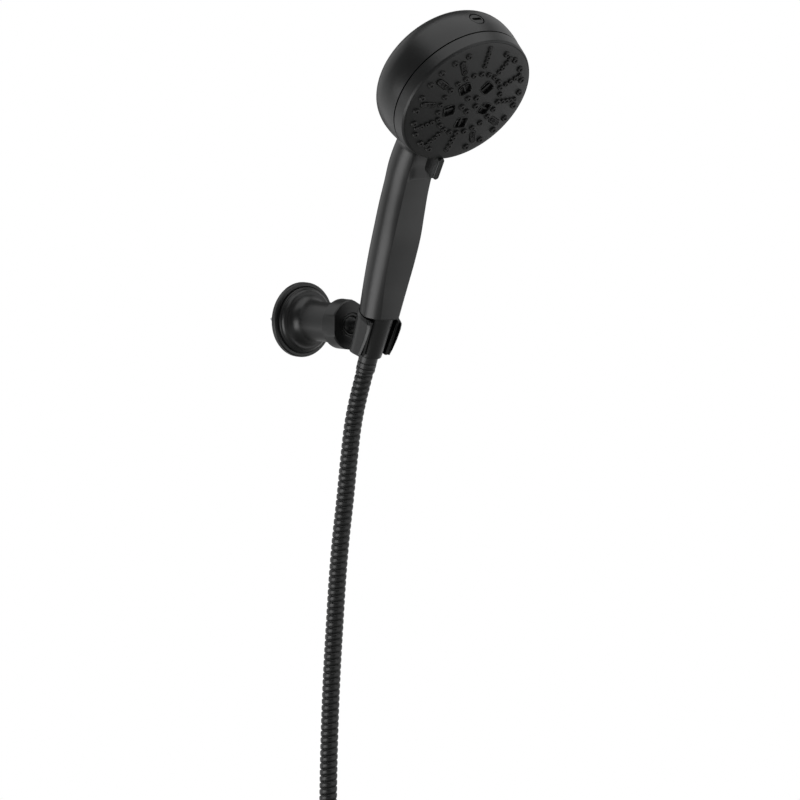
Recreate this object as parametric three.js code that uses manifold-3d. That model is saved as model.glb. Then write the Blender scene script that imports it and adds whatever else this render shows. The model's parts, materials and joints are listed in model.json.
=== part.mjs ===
// A handheld shower head resting in its swivelling wall bracket, with its metal hose.
// Millimetres, +Z up. The wall is the plane y = 0 and the bracket reaches out along -Y.
// The origin is the centre of the bracket's back on the wall.
import * as THREE from "three";
import { mergeVertices } from "three/addons/utils/BufferGeometryUtils.js";
import Module from "manifold-3d";

const wasm = await Module();
wasm.setup();

const rad = THREE.MathUtils.degToRad;

// ---- driving dimensions ----

const GAP = 0.3; // clearance between two pieces that touch
const BIG_SIDES = 26; // sides of a large turned piece
const SMALL_SIDES = 12; // sides of a small turned piece
const HOLE_SIDES = 4; // sides of a nozzle

// wall bracket, measured out from the wall
const FLANGE_R = 28.2;
const FLANGE_EDGE = 3.4;
const NECK_R = 15;
const NECK_END = 47.2;
const SPIGOT_R = 14;
const SPIGOT_END = 56.5;
const PLATE_R = 21.5;
const PLATE_THICK = 3;
const POST_R = 7.6;
const POST_END = 40;
const SCREW_SPACING = 30;
const SCREW_R = 2;
const SCREW_IN_WALL = 18;
const SEAT_R = 11.2;
const SEAT_FLOOR = 42.3;
const SPRING_THICK = 1.4;
const LOCK_NUT_R = 18.85;
const LOCK_NUT_BACK = 47.7;
const LOCK_NUT_FRONT = 61.3;
const LOCK_NUT_FLAT = 16.8; // distance of its three flats from the axis
const LOCK_NUT_WALL = 3.3;
const BALL_R = 8.6;
const BALL_AT = 54.5;
const LIP_R = 6.7;
const LIP_RECESS_R = 8.3;
const STEM_R = 3.4;
const STEM_END = 70.4;
const SCREW_HEAD_AT = 75; // seat of the stem screw's head in the cradle
const SCREW_HEAD_R = 3.3;
const SCREW_HEAD_THICK = 1.2;
const KEY_PIN_R = 1;
const KEY_PIN_FROM = 3;
const KEY_PIN_PROUD = 0.9; // how far the pin stands out of the ball

// handset placing: the middle of the handle's lower rim, and how far it leans from upright
const HANDSET_OUT = 93.7;
const HANDSET_UP = 9.8;
const LEAN = rad(21);
const RIM_SLANT = -0.155; // rise of the handle's rim per millimetre towards the wall

// cone nut, measured up the handset's axis from the rim
const NUT_TOP = 1.5;
const NUT_BOTTOM = -33;
const NUT_TOP_R = 11.8;
const NUT_BOTTOM_R = 9.3;
const NUT_BORE_R = 9;
const NUT_SHOULDER = -18;
const STEM_BORE_R = 5.4;

// cradle that holds the cone nut
const CLIP_TOP = -3;
const CLIP_BOTTOM = -31.2;
const CLIP_SLACK = 0.6;
const CLIP_WALL = 2.4;
const CLIP_REACH = 10.1; // how far its arms reach in front of the nut's axis
const COVER_WALL = 1.9;
const COVER_FOOT = 3.2; // the cover's thickness at its lower end
const COVER_REACH = 7.4;
const COVER_LIP_R = NUT_TOP_R + 3.8; // room for the handle's rim in the cover's raised back
const COVER_LIP_WALL = 1.3;
const COVER_TOP_BACK = 1.6;
const COVER_TOP_FRONT = -2.8;
const COVER_BOTTOM_BACK = -33.6;
const COVER_BOTTOM_FRONT = -31.4;
const CLIP_BOSS_R = 6.2;

// handle: height up the axis, shift of its middle towards the wall, radius, and half the
// angle that the flat front panel takes out of the round
const HANDLE = [
  { z: 3, y: 0.2, r: 15.3, flat: 34 },
  { z: 12, y: 0.8, r: 15.9, flat: 36 },
  { z: 28, y: 1.4, r: 16.8, flat: 42 },
  { z: 48, y: 1.9, r: 17.7, flat: 46 },
  { z: 68, y: 2.6, r: 18, flat: 46 },
  { z: 86, y: 4.1, r: 17.6, flat: 43 },
  { z: 104, y: 5.6, r: 16.7, flat: 36 },
  { z: 120, y: 6, r: 16.6, flat: 34 },
  { z: 136, y: 3.6, r: 16.8, flat: 34 },
  { z: 152, y: 0, r: 16.6, flat: 34 },
];
const RIM_R = NUT_TOP_R + 2.8;
const SHELL_WALL = 2.6;
const PANEL_THICK = 2.4;
const PANEL_BULGE = 0.6;
const PANEL_BOTTOM = 2.6;
const PANEL_TOP = 116;
const PANEL_STEPS = 8;
const SCOOP_WALL = 6.8; // how far the hollow keeps behind the flat front, at the scoop
const SOCKET_R = NUT_TOP_R + 0.5; // hollow in the handle's end that takes the cone nut
const SOCKET_TOP = 2.2;
const CAVITY_FLOOR = 5.5;
const SCOOP = { y: -9.4, z: 130, across: 9.2, deep: 4, tall: 13 };

// head, in its own frame: +Z out of the face, +Y up the face, on the axis of the round head
const HEAD_Y = -40.4;
const HEAD_Z = 192.5;
const HEAD_TURN = rad(103);
const FACE_APEX = 1.07;
const FACE_SPHERE_R = 350;
const FACE_R = 54.4;
const FACE_THICK = 2.4;
const RING_BORE_R = FACE_R + 0.55; // flat sides of the ring's bore clear the face's corners
const SKIRT_BACK = -10;
const RING_FRONT_R = 55.9;
const RING_BACK_R = 57;
const RING_FRONT = -4.9;
const RING_BACK = -14;
const SEAM = 0.5; // open line between the selector ring and the shell
const HEAD_WIDEST_R = 58.4;
const WEB_FRONT = -12.4;
const DISC_R = 23.9;
const DISC_BACK = -15;
const DISC_PORTS = 4;
const DISC_PORT_AT = 14; // distance of the disc's ports and seal from the axis
const SCREWS_AT = 49; // distance of the engine's screws from the axis
const DETENT_AT = 40;
const PORT_PLATE_FRONT = -15.4;
const PORT_PLATE_BACK = -19.4;
const PORT_PLATE_R = HEAD_WIDEST_R - 4.7;
const MAT_THICK = 1.5;
const MAT_R = 52.2;
const SPRAY_BACK = -12;
const SPRAY_FLOOR = -9.4;
const SPRAY_CORE = -10.4; // bottom of the recess for the bolt's tip
const POST_BOLT_R = 5;
const BOLT_TIP_R = 4;
const TAB_WIDE = 4.4;
const PLUG_AT = -28;
const PLUG_R = 5.9;
const PLUG_HOLE = HEAD_WIDEST_R - 8.4; // how far from the axis the plug's hole begins

// nozzles, placed by angle from the top of the face
const RING_R = 27.4;
const RING_COUNT = 24;
const OUTER_R = 47;
const OUTER_COUNT = 24;
const CENTRE_R = 6.9;
const KINETIC_R = 17.6;
const KINETIC_COUNT = 5;
const KINETIC_WIDE = 10;
const KINETIC_TALL = 8;
const PILL_COUNT = 12;
const PILL_WIDE = 4.2;
const PILL_FROM = 31.4;
const PILL_TO = 45.4;
const NOZZLE_R = 1.75;
const NOZZLE_RISE = 1.9;
const PILL_RISE = 0.8;

// water way up the handle
const NIPPLE_R = 8.6;
const NIPPLE_BORE_R = 5.9;
const NIPPLE_BOTTOM = -13;
const NIPPLE_TOP = 18;
const NIPPLE_FLANGE_R = 9.5;
const NIPPLE_FLANGE = 3;
const TUBE_R = 5.5;
const TUBE_BORE_R = 3.8;
const TUBE_BOTTOM = 7;
const INLET_DEPTH = -27.5; // depth of the head's inlet behind the face
const INLET_FROM = -52;
const INLET_TO = -24;
const INLET_R = 8.8;
const VALVE_BOTTOM = -9.3;
const VALVE_TOP = 1;
const REGULATOR_BOTTOM = -12.7;
const VALVE_BORE_R = 4.2;
const POPPET_TRAVEL = 1;

// hose
const HOSE_R = 6.7;
const HOSE_SIDES = 8;
const FERRULE_R = 7.2;
const FERRULE_LONG = 9.6;
const INSERT_R = 5;
const INSERT_BORE_R = 3.6;
const INSERT_FLANGE_R = 8.4;
const WASHER_THICK = 2;
const COIL_R = 76;
const COIL_TURNS = 2;
const COIL_PITCH = 14;
const COIL_MIDDLE_Z = -452;
const COIL_HALF = HOSE_R + 0.1;
// height from the coil's middle at which the straight hose is clear of it
const COIL_CLEAR = 2 * GAP + Math.sqrt((COIL_R + COIL_HALF) ** 2 - (COIL_R - HOSE_R) ** 2);
const TAIL_END = -582;
const HEX_FLATS = 24;
const HEX_TALL = 14;
const TIE_WIDE = 12;
const TIE_THICK = 1.2;
const TIE_SLACK = 0.9; // room under the tie for the coil's curve

// The hose's own way down from the handset, in the plane x = 0: out from the wall, and up.
const HOSE_WAY = [
  [68.7, -55],
  [63.3, -72],
  [57.7, -102],
  [53, -133],
  [47.8, -163],
  [43.8, -194],
  [40.9, -224],
  [38, -255],
  [35.8, -285],
  [34.2, -315],
  [33.1, -346],
  [32.6, -376],
];
const COIL_OUT = 32.5;

// ---- colours ----

function material(color, roughness, metalness) {
  return new THREE.MeshStandardMaterial({ color, roughness, metalness });
}
const MATTE_BLACK = material(0x2b2c2c, 0.45, 0.1);
const BLACK_METAL = material(0x333434, 0.4, 0.6);
const BLACK_RUBBER = material(0x191919, 0.8, 0);
const INNER_PLASTIC = material(0x4a4c4e, 0.6, 0);
const WHITE_PLASTIC = material(0xd9d9d4, 0.5, 0);
const STEEL = material(0xb9bcc0, 0.3, 1);
const BRASS = material(0xb08d4f, 0.35, 1);

// ---- shape helpers ----

// A closed geometry as a solid that can be joined and cut.
function solid(geometry) {
  const bare = geometry.clone();
  bare.deleteAttribute("normal");
  bare.deleteAttribute("uv");
  const merged = mergeVertices(bare, 1e-4);
  const vertProperties = new Float32Array(merged.attributes.position.array);
  const triVerts = new Uint32Array(merged.index.array);
  return new wasm.Manifold(new wasm.Mesh({ numProp: 3, vertProperties, triVerts }));
}

function geometryOf(body) {
  const mesh = body.getMesh();
  const geometry = new THREE.BufferGeometry();
  geometry.setAttribute("position", new THREE.BufferAttribute(mesh.vertProperties, 3));
  geometry.setIndex(new THREE.BufferAttribute(mesh.triVerts, 1));
  geometry.computeVertexNormals();
  return geometry;
}

// A piece from a geometry or a solid.
function piece(name, shape, look) {
  const geometry = shape.isBufferGeometry ? shape : geometryOf(shape);
  const mesh = new THREE.Mesh(geometry, look);
  mesh.name = name;
  return mesh;
}

// A closed outline of [radius, height] turned about +Z, listed up its outside and down its inside.
function turned(outline, sides = BIG_SIDES) {
  const points = outline.map(([r, z]) => new THREE.Vector2(r, z));
  if (outline[0][0] > 0) points.push(points[0].clone());
  return new THREE.LatheGeometry(points, sides).rotateX(Math.PI / 2);
}

function ring(inner, outer, from, to, sides = SMALL_SIDES) {
  return turned([[outer, from], [outer, to], [inner, to], [inner, from]], sides);
}

function disc(radius, from, to, sides = SMALL_SIDES) {
  return turned([[0, from], [radius, from], [radius, to], [0, to]], sides);
}

// A flat outline pushed from one height to another.
function pushed(points, from, to, holes = []) {
  const shape = new THREE.Shape(points.map(([x, y]) => new THREE.Vector2(x, y)));
  for (const hole of holes)
    shape.holes.push(new THREE.Path(hole.map(([x, y]) => new THREE.Vector2(x, y))));
  const settings = { depth: to - from, bevelEnabled: false };
  return new THREE.ExtrudeGeometry(shape, settings).translate(0, 0, from);
}

function rectangle(wide, tall, corner = 0) {
  const x = wide / 2;
  const y = tall / 2;
  if (!corner) return [[-x, -y], [x, -y], [x, y], [-x, y]];
  const c = corner;
  return [
    [-x + c, -y], [x - c, -y], [x, -y + c], [x, y - c],
    [x - c, y], [-x + c, y], [-x, y - c], [-x, -y + c],
  ];
}

function circle(radius, sides) {
  return Array.from({ length: sides }, (_, i) => {
    const angle = (2 * Math.PI * i) / sides;
    return [radius * Math.cos(angle), radius * Math.sin(angle)];
  });
}

// A solid through rings with the same number of points, each anticlockwise seen from above.
function loft(rings) {
  const count = rings[0].length;
  const flat = rings[0].map((p) => new THREE.Vector2(p.x, p.y));
  const caps = THREE.ShapeUtils.triangulateShape(flat, []);
  const last = (rings.length - 1) * count;
  const faces = [];
  for (const [a, b, c] of caps) {
    faces.push(c, b, a);
    faces.push(last + a, last + b, last + c);
  }
  for (let level = 0; level < rings.length - 1; level++)
    for (let i = 0; i < count; i++) {
      const a = level * count + i;
      const b = level * count + ((i + 1) % count);
      faces.push(a, b, b + count, a, b + count, a + count);
    }
  const geometry = new THREE.BufferGeometry().setFromPoints(rings.flat());
  return geometry.setIndex(faces);
}

function swept(outline, points, steps, hole) {
  const shape = new THREE.Shape(outline.map(([x, y]) => new THREE.Vector2(x, y)));
  if (hole) shape.holes.push(new THREE.Path(hole.map(([x, y]) => new THREE.Vector2(x, y))));
  const extrudePath = new THREE.CatmullRomCurve3(points);
  return new THREE.ExtrudeGeometry(shape, { steps, extrudePath });
}

function around(count, make) {
  return Array.from({ length: count }, (_, i) => make((2 * Math.PI * i) / count, i));
}

// Turns a shape made at the top of the face to an angle round it.
function atAngle(geometry, radius, angle) {
  return geometry.translate(0, radius, 0).rotateZ(-angle);
}

function group(...children) {
  const made = new THREE.Group();
  made.add(...children);
  return made;
}

// ---- wall bracket, +Z out of the wall ----

function ballOutline(radius, from, to, steps) {
  return Array.from({ length: steps + 1 }, (_, i) => {
    const z = from + ((to - from) * i) / steps;
    return [Math.sqrt(Math.max(radius ** 2 - (z - BALL_AT) ** 2, 0)), z];
  });
}

function wallFlange() {
  const flare = 8.5; // size of the concave flare from the dome to the neck
  const flareTop = 9.6;
  const flarePoints = [0, 45, 90].map((a) => [
    NECK_R + flare * 0.75 * (1 - Math.sin(rad(a))),
    flareTop + flare * (1 - Math.cos(rad(a))),
  ]);
  const body = solid(turned([
    [FLANGE_R, 0],
    [FLANGE_R, FLANGE_EDGE],
    [FLANGE_R - 0.8, 4.1],
    [25, 4.1],
    [24.6, 5.6],
    [23.7, 6.1],
    [22.9, 7.8],
    ...flarePoints,
    [NECK_R, NECK_END],
    [SPIGOT_R, NECK_END],
    [SPIGOT_R, SPIGOT_END],
    [SEAT_R + GAP, SPIGOT_END],
    [SEAT_R + GAP, SEAT_FLOOR],
    [POST_R + GAP, SEAT_FLOOR],
    [POST_R + GAP, PLATE_THICK + 1],
    [PLATE_R + 0.5, PLATE_THICK + 1],
    [PLATE_R + 0.5, 1.5],
    [26.2, 1.5],
    [26.2, 0],
  ]));
  const hole = solid(disc(2.2, 0, 30, 8).rotateX(Math.PI / 2).translate(0, 0, 22));
  return piece("wall_flange", body.subtract(hole), MATTE_BLACK);
}

function mountingPost() {
  const body = solid(turned([
    [0, 0],
    [PLATE_R, 0],
    [PLATE_R, PLATE_THICK],
    [POST_R, PLATE_THICK],
    [POST_R, POST_END],
    [0, POST_END],
  ], 24));
  const hole = turned([
    [0, -1],
    [SCREW_R + GAP, -1],
    [SCREW_R + GAP, 1.2],
    [SCREW_R + GAP + 2, PLATE_THICK + 1],
    [0, PLATE_THICK + 1],
  ], 10);
  const right = solid(hole.clone().translate(SCREW_SPACING / 2, 0, 0));
  const left = solid(hole.clone().translate(-SCREW_SPACING / 2, 0, 0));
  return piece("mounting_post", body.subtract(right).subtract(left), BLACK_METAL);
}

function wallScrew(name, x) {
  const shape = turned([
    [0, -SCREW_IN_WALL],
    [SCREW_R - 0.4, -SCREW_IN_WALL + 3],
    [SCREW_R, -SCREW_IN_WALL + 4],
    [SCREW_R, 1.3],
    [SCREW_R + 1.5, PLATE_THICK],
    [0, PLATE_THICK],
  ], 10);
  return piece(name, shape.translate(x, 0, 0), STEEL);
}

function setScrew() {
  const shape = disc(1.9, POST_R + GAP, NECK_R - 0.5, 10);
  return piece("flange_set_screw", shape.rotateX(Math.PI / 2).translate(0, 0, 22), STEEL);
}

function ballSeat() {
  const back = SEAT_FLOOR + SPRING_THICK + 2 * GAP;
  const front = LOCK_NUT_FRONT - LOCK_NUT_WALL - GAP;
  const hollow = ballOutline(BALL_R + GAP, front, BALL_AT - 7.6, 4);
  const body = solid(turned([
    [3.9, back],
    [SEAT_R, back],
    [SEAT_R, front],
    ...hollow,
    [3.9, BALL_AT - 7.9],
  ], 18));
  const slot = solid(pushed(rectangle(2 * KEY_PIN_R + 1.4, 30), BALL_AT - 4.5, front + 1))
    .intersect(solid(pushed(rectangle(10, 30), BALL_AT - 5, front + 2).translate(0, 15, 0)));
  return piece("ball_seat", body.subtract(slot), WHITE_PLASTIC);
}

function lockNut() {
  const mouth = LOCK_NUT_FRONT - LOCK_NUT_WALL;
  const hollow = ballOutline(BALL_R + GAP, BALL_AT + 5.6, mouth, 2);
  const body = solid(turned([
    [LOCK_NUT_R, LOCK_NUT_BACK],
    [LOCK_NUT_R, LOCK_NUT_FRONT - 0.8],
    [LOCK_NUT_R - 0.8, LOCK_NUT_FRONT],
    [LIP_RECESS_R, LOCK_NUT_FRONT],
    [LIP_R, LOCK_NUT_FRONT - 0.9],
    ...hollow,
    [SPIGOT_R + GAP, mouth],
    [SPIGOT_R + GAP, LOCK_NUT_BACK],
  ]));
  const cutter = pushed(rectangle(10, 2 * LOCK_NUT_R), LOCK_NUT_BACK - 1, LOCK_NUT_FRONT + 1);
  cutter.translate(LOCK_NUT_FLAT + 5, 0, 0);
  const notch = pushed(rectangle(1.6, 3), LOCK_NUT_FRONT - 1.5, LOCK_NUT_FRONT + 1);
  let cut = body.subtract(solid(notch.translate(0, LIP_R + 0.6, 0)));
  for (const angle of [60, 180, 300])
    cut = cut.subtract(solid(cutter.clone().rotateZ(rad(angle))));
  return piece("lock_nut", cut, MATTE_BLACK);
}

function bracket() {
  const gasket = ring(PLATE_R + 1, 25.9, 0, 1.2, 24);
  const spring = ring(6, SEAT_R - 0.3, SEAT_FLOOR + GAP, SEAT_FLOOR + GAP + SPRING_THICK);
  return group(
    mountingPost(),
    wallScrew("wall_screw_right", SCREW_SPACING / 2),
    wallScrew("wall_screw_left", -SCREW_SPACING / 2),
    wallFlange(),
    piece("flange_gasket", gasket, BLACK_RUBBER),
    setScrew(),
    piece("seat_spring", spring, STEEL),
    ballSeat(),
    lockNut(),
  );
}

// ---- swivelling ball, in the bracket's frame ----

function swivelBall() {
  const neck = Math.sqrt(BALL_R ** 2 - STEM_R ** 2);
  const front = ballOutline(BALL_R, BALL_AT - BALL_R, BALL_AT + neck, 7);
  const body = solid(turned([
    ...front,
    [STEM_R, STEM_END],
    [2.1, STEM_END],
    [2.1, STEM_END - 8],
    [0, STEM_END - 8],
  ], 16));
  const pinHole = solid(disc(KEY_PIN_R + GAP, KEY_PIN_FROM, 12, 8).rotateX(-Math.PI / 2));
  return piece("swivel_ball", body.subtract(pinHole.translate([0, 0, BALL_AT])), BLACK_METAL);
}

function keyPin() {
  const shape = disc(KEY_PIN_R, KEY_PIN_FROM + GAP, BALL_R + KEY_PIN_PROUD, 8);
  return piece("ball_key_pin", shape.rotateX(-Math.PI / 2).translate(0, 0, BALL_AT), STEEL);
}

// ---- cradle, in the handset's frame: +Z up its axis, -Y away from the wall ----

function nutRadius(z) {
  const share = (z - NUT_BOTTOM) / (NUT_TOP - NUT_BOTTOM);
  return NUT_BOTTOM_R + (NUT_TOP_R - NUT_BOTTOM_R) * share;
}

// A U open to the front, round the back from one arm to the other, at a height for each place.
function cradleRing(inner, outer, reach, heightAt) {
  const steps = 9;
  const arc = (radius) => Array.from({ length: steps + 1 }, (_, i) => {
    const angle = (Math.PI * i) / steps;
    return [radius * Math.cos(angle), radius * Math.sin(angle)];
  });
  const outline = [
    [outer, -reach],
    ...arc(outer),
    [-outer, -reach],
    [-inner, -reach],
    ...arc(inner).reverse(),
    [inner, -reach],
  ];
  return outline.map(([x, y]) => new THREE.Vector3(x, y, heightAt(y)));
}

function stemDirection(geometry) {
  // from the bracket's frame to the handset's frame
  const toWorld = new THREE.Matrix4().makeRotationX(Math.PI / 2);
  return geometry.applyMatrix4(toWorld).translate(0, HANDSET_OUT, -HANDSET_UP).rotateX(-LEAN);
}

function clipRadius(z) {
  return nutRadius(z) + CLIP_SLACK + CLIP_WALL;
}

function cradleClip() {
  const rings = [CLIP_BOTTOM, CLIP_TOP].map((z) =>
    cradleRing(nutRadius(z) + CLIP_SLACK, clipRadius(z), CLIP_REACH, () => z));
  const boss = solid(stemDirection(disc(CLIP_BOSS_R, STEM_END + GAP, 78.6, 16)));
  const hollow = solid(loft([CLIP_BOTTOM - 3, CLIP_TOP + 3].map((z) =>
    circle(nutRadius(z) + CLIP_SLACK, 20).map(([x, y]) => new THREE.Vector3(x, y, z)))));
  const screwHole = solid(stemDirection(disc(1.8 + GAP, STEM_END - 2, 85, 10)));
  const headHole = solid(stemDirection(disc(SCREW_HEAD_R + GAP, SCREW_HEAD_AT, 90, 12)));
  const body = solid(loft(rings)).add(boss).subtract(hollow);
  return piece("cradle_clip", body.subtract(screwHole).subtract(headHole), MATTE_BLACK);
}

function cradleCover() {
  const back = clipRadius(CLIP_TOP);
  const slope = (front, rear) => (y) =>
    front + ((rear - front) * (y + COVER_REACH)) / (back + COVER_REACH);
  const bottom = slope(COVER_BOTTOM_FRONT, COVER_BOTTOM_BACK);
  const top = slope(COVER_TOP_FRONT, COVER_TOP_BACK);
  const lowIn = clipRadius(CLIP_BOTTOM) + GAP;
  const highIn = clipRadius(CLIP_TOP) + GAP;
  const body = solid(loft([
    cradleRing(lowIn, lowIn + COVER_FOOT, COVER_REACH, bottom),
    cradleRing(highIn, highIn + COVER_WALL, COVER_REACH, () => CLIP_TOP - GAP),
    cradleRing(COVER_LIP_R, COVER_LIP_R + COVER_LIP_WALL, COVER_REACH, top),
  ]));
  const hole = solid(stemDirection(disc(CLIP_BOSS_R + GAP, 60, 80, 16)));
  return piece("cradle_cover", body.subtract(hole), MATTE_BLACK);
}

function stemScrew() {
  const shape = turned([
    [0, STEM_END - 7],
    [1.8, STEM_END - 7],
    [1.8, SCREW_HEAD_AT + 0.1],
    [SCREW_HEAD_R, SCREW_HEAD_AT + 0.1],
    [SCREW_HEAD_R, SCREW_HEAD_AT + SCREW_HEAD_THICK],
    [0, SCREW_HEAD_AT + SCREW_HEAD_THICK],
  ], 10);
  return piece("stem_screw", stemDirection(shape), STEEL);
}

// ---- handle and head shell ----

const headPlace = new THREE.Matrix4()
  .makeTranslation(0, HEAD_Y, HEAD_Z)
  .multiply(new THREE.Matrix4().makeRotationX(HEAD_TURN));

function inHead(geometry) {
  return geometry.applyMatrix4(headPlace);
}

// How far the front stands proud of flat, by the share of its half width.
function panelBulge(share) {
  return PANEL_BULGE * (1 - share ** 2);
}

// The handle's round section with its flat front, at a height and shrunk by a wall.
function handleRing(section, shrink, flatDepth, slant = 0) {
  const radius = section.r - shrink;
  const flat = section.r * Math.cos(rad(section.flat)) - flatDepth;
  const half = Math.acos(Math.min(flat / radius, 1));
  const points = [];
  const arcSteps = 13;
  for (let i = 0; i <= arcSteps; i++) {
    const angle = half + ((2 * Math.PI - 2 * half) * i) / arcSteps - Math.PI / 2;
    points.push([radius * Math.cos(angle), radius * Math.sin(angle)]);
  }
  const edge = radius * Math.sin(half);
  for (const share of [-0.5, 0, 0.5]) points.push([edge * share, -flat - panelBulge(share)]);
  return points.map(([x, y]) => {
    const up = section.z + slant * (y + section.y);
    return new THREE.Vector3(x, y + section.y, up);
  });
}

function handleAt(z) {
  const next = Math.max(HANDLE.findIndex((s) => s.z >= z), 1);
  const [a, b] = [HANDLE[next - 1], HANDLE[next]];
  const t = (z - a.z) / (b.z - a.z);
  const mix = (key) => a[key] + (b[key] - a[key]) * t;
  return { z, y: mix("y"), r: mix("r"), flat: mix("flat") };
}

function panelRing(z, side, front, back) {
  const section = handleAt(z);
  const edge = section.r * Math.sin(rad(section.flat)) - side;
  const flat = section.r * Math.cos(rad(section.flat));
  const points = [-1, -0.5, 0, 0.5, 1].map((s) => [edge * s, -flat - front - panelBulge(s)]);
  points.push([edge, -flat + back], [-edge, -flat + back]);
  return points.map(([x, y]) => new THREE.Vector3(x, y + section.y, z));
}

function panelLoft(from, to, side, front, back) {
  const rings = Array.from({ length: PANEL_STEPS + 1 }, (_, i) => {
    const z = from + ((to - from) * i) / PANEL_STEPS;
    return panelRing(z, side, front, back);
  });
  return loft(rings);
}

const HEAD_CORNER = -40; // behind this the shell's wall turns in towards the axis
const HEAD_BACK = [
  [HEAD_WIDEST_R, -26],
  [HEAD_WIDEST_R - 0.4, -34],
  [HEAD_WIDEST_R - 3, -42],
  [HEAD_WIDEST_R - 9.6, -48.2],
  [HEAD_WIDEST_R - 26, -54.2],
  [0, -58],
];

function bodyShell() {
  const rim = { ...HANDLE[0], z: 0, y: 0, r: RIM_R, flat: 33 };
  const outer = loft([handleRing(rim, 0, 0, RIM_SLANT), ...HANDLE.map((s) => handleRing(s, 0, 0))]);
  const floor = handleAt(CAVITY_FLOOR);
  const hollowWall = (s) => (s.z > PANEL_TOP ? SCOOP_WALL : PANEL_THICK + GAP);
  const hollow = loft([floor, ...HANDLE.slice(1)].map((s) => handleRing(s, SHELL_WALL, hollowWall(s))));
  const front = RING_BACK - SEAM;
  const backToFront = HEAD_BACK.toReversed();
  const cup = turned([...backToFront, [RING_BACK_R, front], [0, front]]);
  const lift = (z) => z + (z < HEAD_CORNER ? SHELL_WALL : 0);
  const inner = turned([
    [0, backToFront[0][1] + SHELL_WALL],
    ...backToFront.slice(1).map(([r, z]) => [r - SHELL_WALL, lift(z)]),
    [RING_BACK_R - SHELL_WALL - GAP, front + 1],
    [0, front + 1],
  ]);
  const socket = disc(SOCKET_R, -8, SOCKET_TOP, 20);
  const bore = disc(NIPPLE_R + 2 * GAP, -8, CAVITY_FLOOR + 3, 20);
  const opening = panelLoft(PANEL_BOTTOM, PANEL_TOP, 0, 6, PANEL_THICK + GAP);
  const scoop = new THREE.SphereGeometry(1, 14, 8);
  scoop.scale(SCOOP.across, SCOOP.deep, SCOOP.tall).translate(0, SCOOP.y, SCOOP.z);
  const plugHole = disc(PLUG_R + GAP, PLUG_HOLE, HEAD_WIDEST_R + 4, 16);
  plugHole.rotateX(-Math.PI / 2).translate(0, 0, PLUG_AT);
  const body = solid(outer)
    .add(solid(inHead(cup)))
    .subtract(solid(hollow))
    .subtract(solid(inHead(inner)))
    .subtract(solid(socket))
    .subtract(solid(bore))
    .subtract(solid(opening))
    .subtract(solid(scoop))
    .subtract(solid(inHead(plugHole)));
  return piece("body_shell", body, MATTE_BLACK);
}

function gripPanel() {
  const shape = panelLoft(PANEL_BOTTOM + GAP, PANEL_TOP - GAP, GAP, 0, PANEL_THICK);
  return piece("grip_panel", shape, MATTE_BLACK);
}

function retainingPlug() {
  const top = HEAD_WIDEST_R - 0.6;
  const shoulder = PLUG_HOLE + 4;
  const body = solid(turned([
    [0, PLUG_HOLE - 1],
    [3.4, PLUG_HOLE - 1],
    [3.4, shoulder],
    [PLUG_R, shoulder],
    [PLUG_R, top],
    [0, top],
  ], 16));
  const slot = solid(pushed(rectangle(7.4, 1.9), top - 1, top + 2));
  const shape = geometryOf(body.subtract(slot)).rotateX(-Math.PI / 2).translate(0, 0, PLUG_AT);
  return piece("retaining_plug", inHead(shape), MATTE_BLACK);
}

// ---- water way in the handle ----

function inletNipple() {
  const flange = CAVITY_FLOOR + GAP;
  return piece("inlet_nipple", turned([
    [NIPPLE_R, NIPPLE_BOTTOM],
    [NIPPLE_R, flange],
    [NIPPLE_FLANGE_R, flange],
    [NIPPLE_FLANGE_R, flange + NIPPLE_FLANGE],
    [NIPPLE_R, flange + NIPPLE_FLANGE],
    [NIPPLE_R, NIPPLE_TOP],
    [NIPPLE_BORE_R, NIPPLE_TOP],
    [NIPPLE_BORE_R, NIPPLE_BOTTOM],
  ], 20), BRASS);
}

function checkValve() {
  const outer = NIPPLE_BORE_R - GAP;
  const body = solid(turned([
    [outer, VALVE_BOTTOM],
    [outer, VALVE_TOP],
    [1.5, VALVE_TOP],
    [1.5, VALVE_TOP - 1.2],
    [VALVE_BORE_R, VALVE_TOP - 1.2],
    [VALVE_BORE_R, VALVE_BOTTOM + 1.2],
    [2.6, VALVE_BOTTOM + 1.2],
    [2.6, VALVE_BOTTOM],
  ], 16));
  const window = solid(pushed(rectangle(2, 2), VALVE_TOP - 2, VALVE_TOP + 1).translate(3, 0, 0));
  const other = window.rotate([0, 0, 180]);
  const seat = VALVE_BOTTOM + 1.2 + GAP;
  const poppet = turned([
    [0, seat],
    [3.7, seat],
    [3.7, seat + 1.2],
    [1.2, seat + 1.4],
    [1.2, VALVE_TOP - 0.6],
    [0, VALVE_TOP - 0.6],
  ], 12);
  const springFrom = seat + 1.4 + POPPET_TRAVEL + 2 * GAP;
  const springTo = VALVE_TOP - 1.2 - 2 * GAP;
  const turns = 3;
  const wire = 0.28;
  const helix = Array.from({ length: turns * 8 + 1 }, (_, i) => {
    const angle = (i * Math.PI) / 4;
    const z = springFrom + ((springTo - springFrom) * i) / (turns * 8);
    return new THREE.Vector3(2.2 * Math.cos(angle), 2.2 * Math.sin(angle), z);
  });
  return [
    piece("check_valve_body", body.subtract(window).subtract(other), WHITE_PLASTIC),
    piece("check_valve_poppet", poppet, INNER_PLASTIC),
    piece("check_valve_spring", swept(circle(wire, 5), helix, turns * 8), STEEL),
  ];
}

function flowRegulator() {
  const outer = NIPPLE_BORE_R - GAP;
  const shape = ring(1.6, outer, REGULATOR_BOTTOM, VALVE_BOTTOM - GAP, 16);
  return piece("flow_regulator", shape, WHITE_PLASTIC);
}

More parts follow.
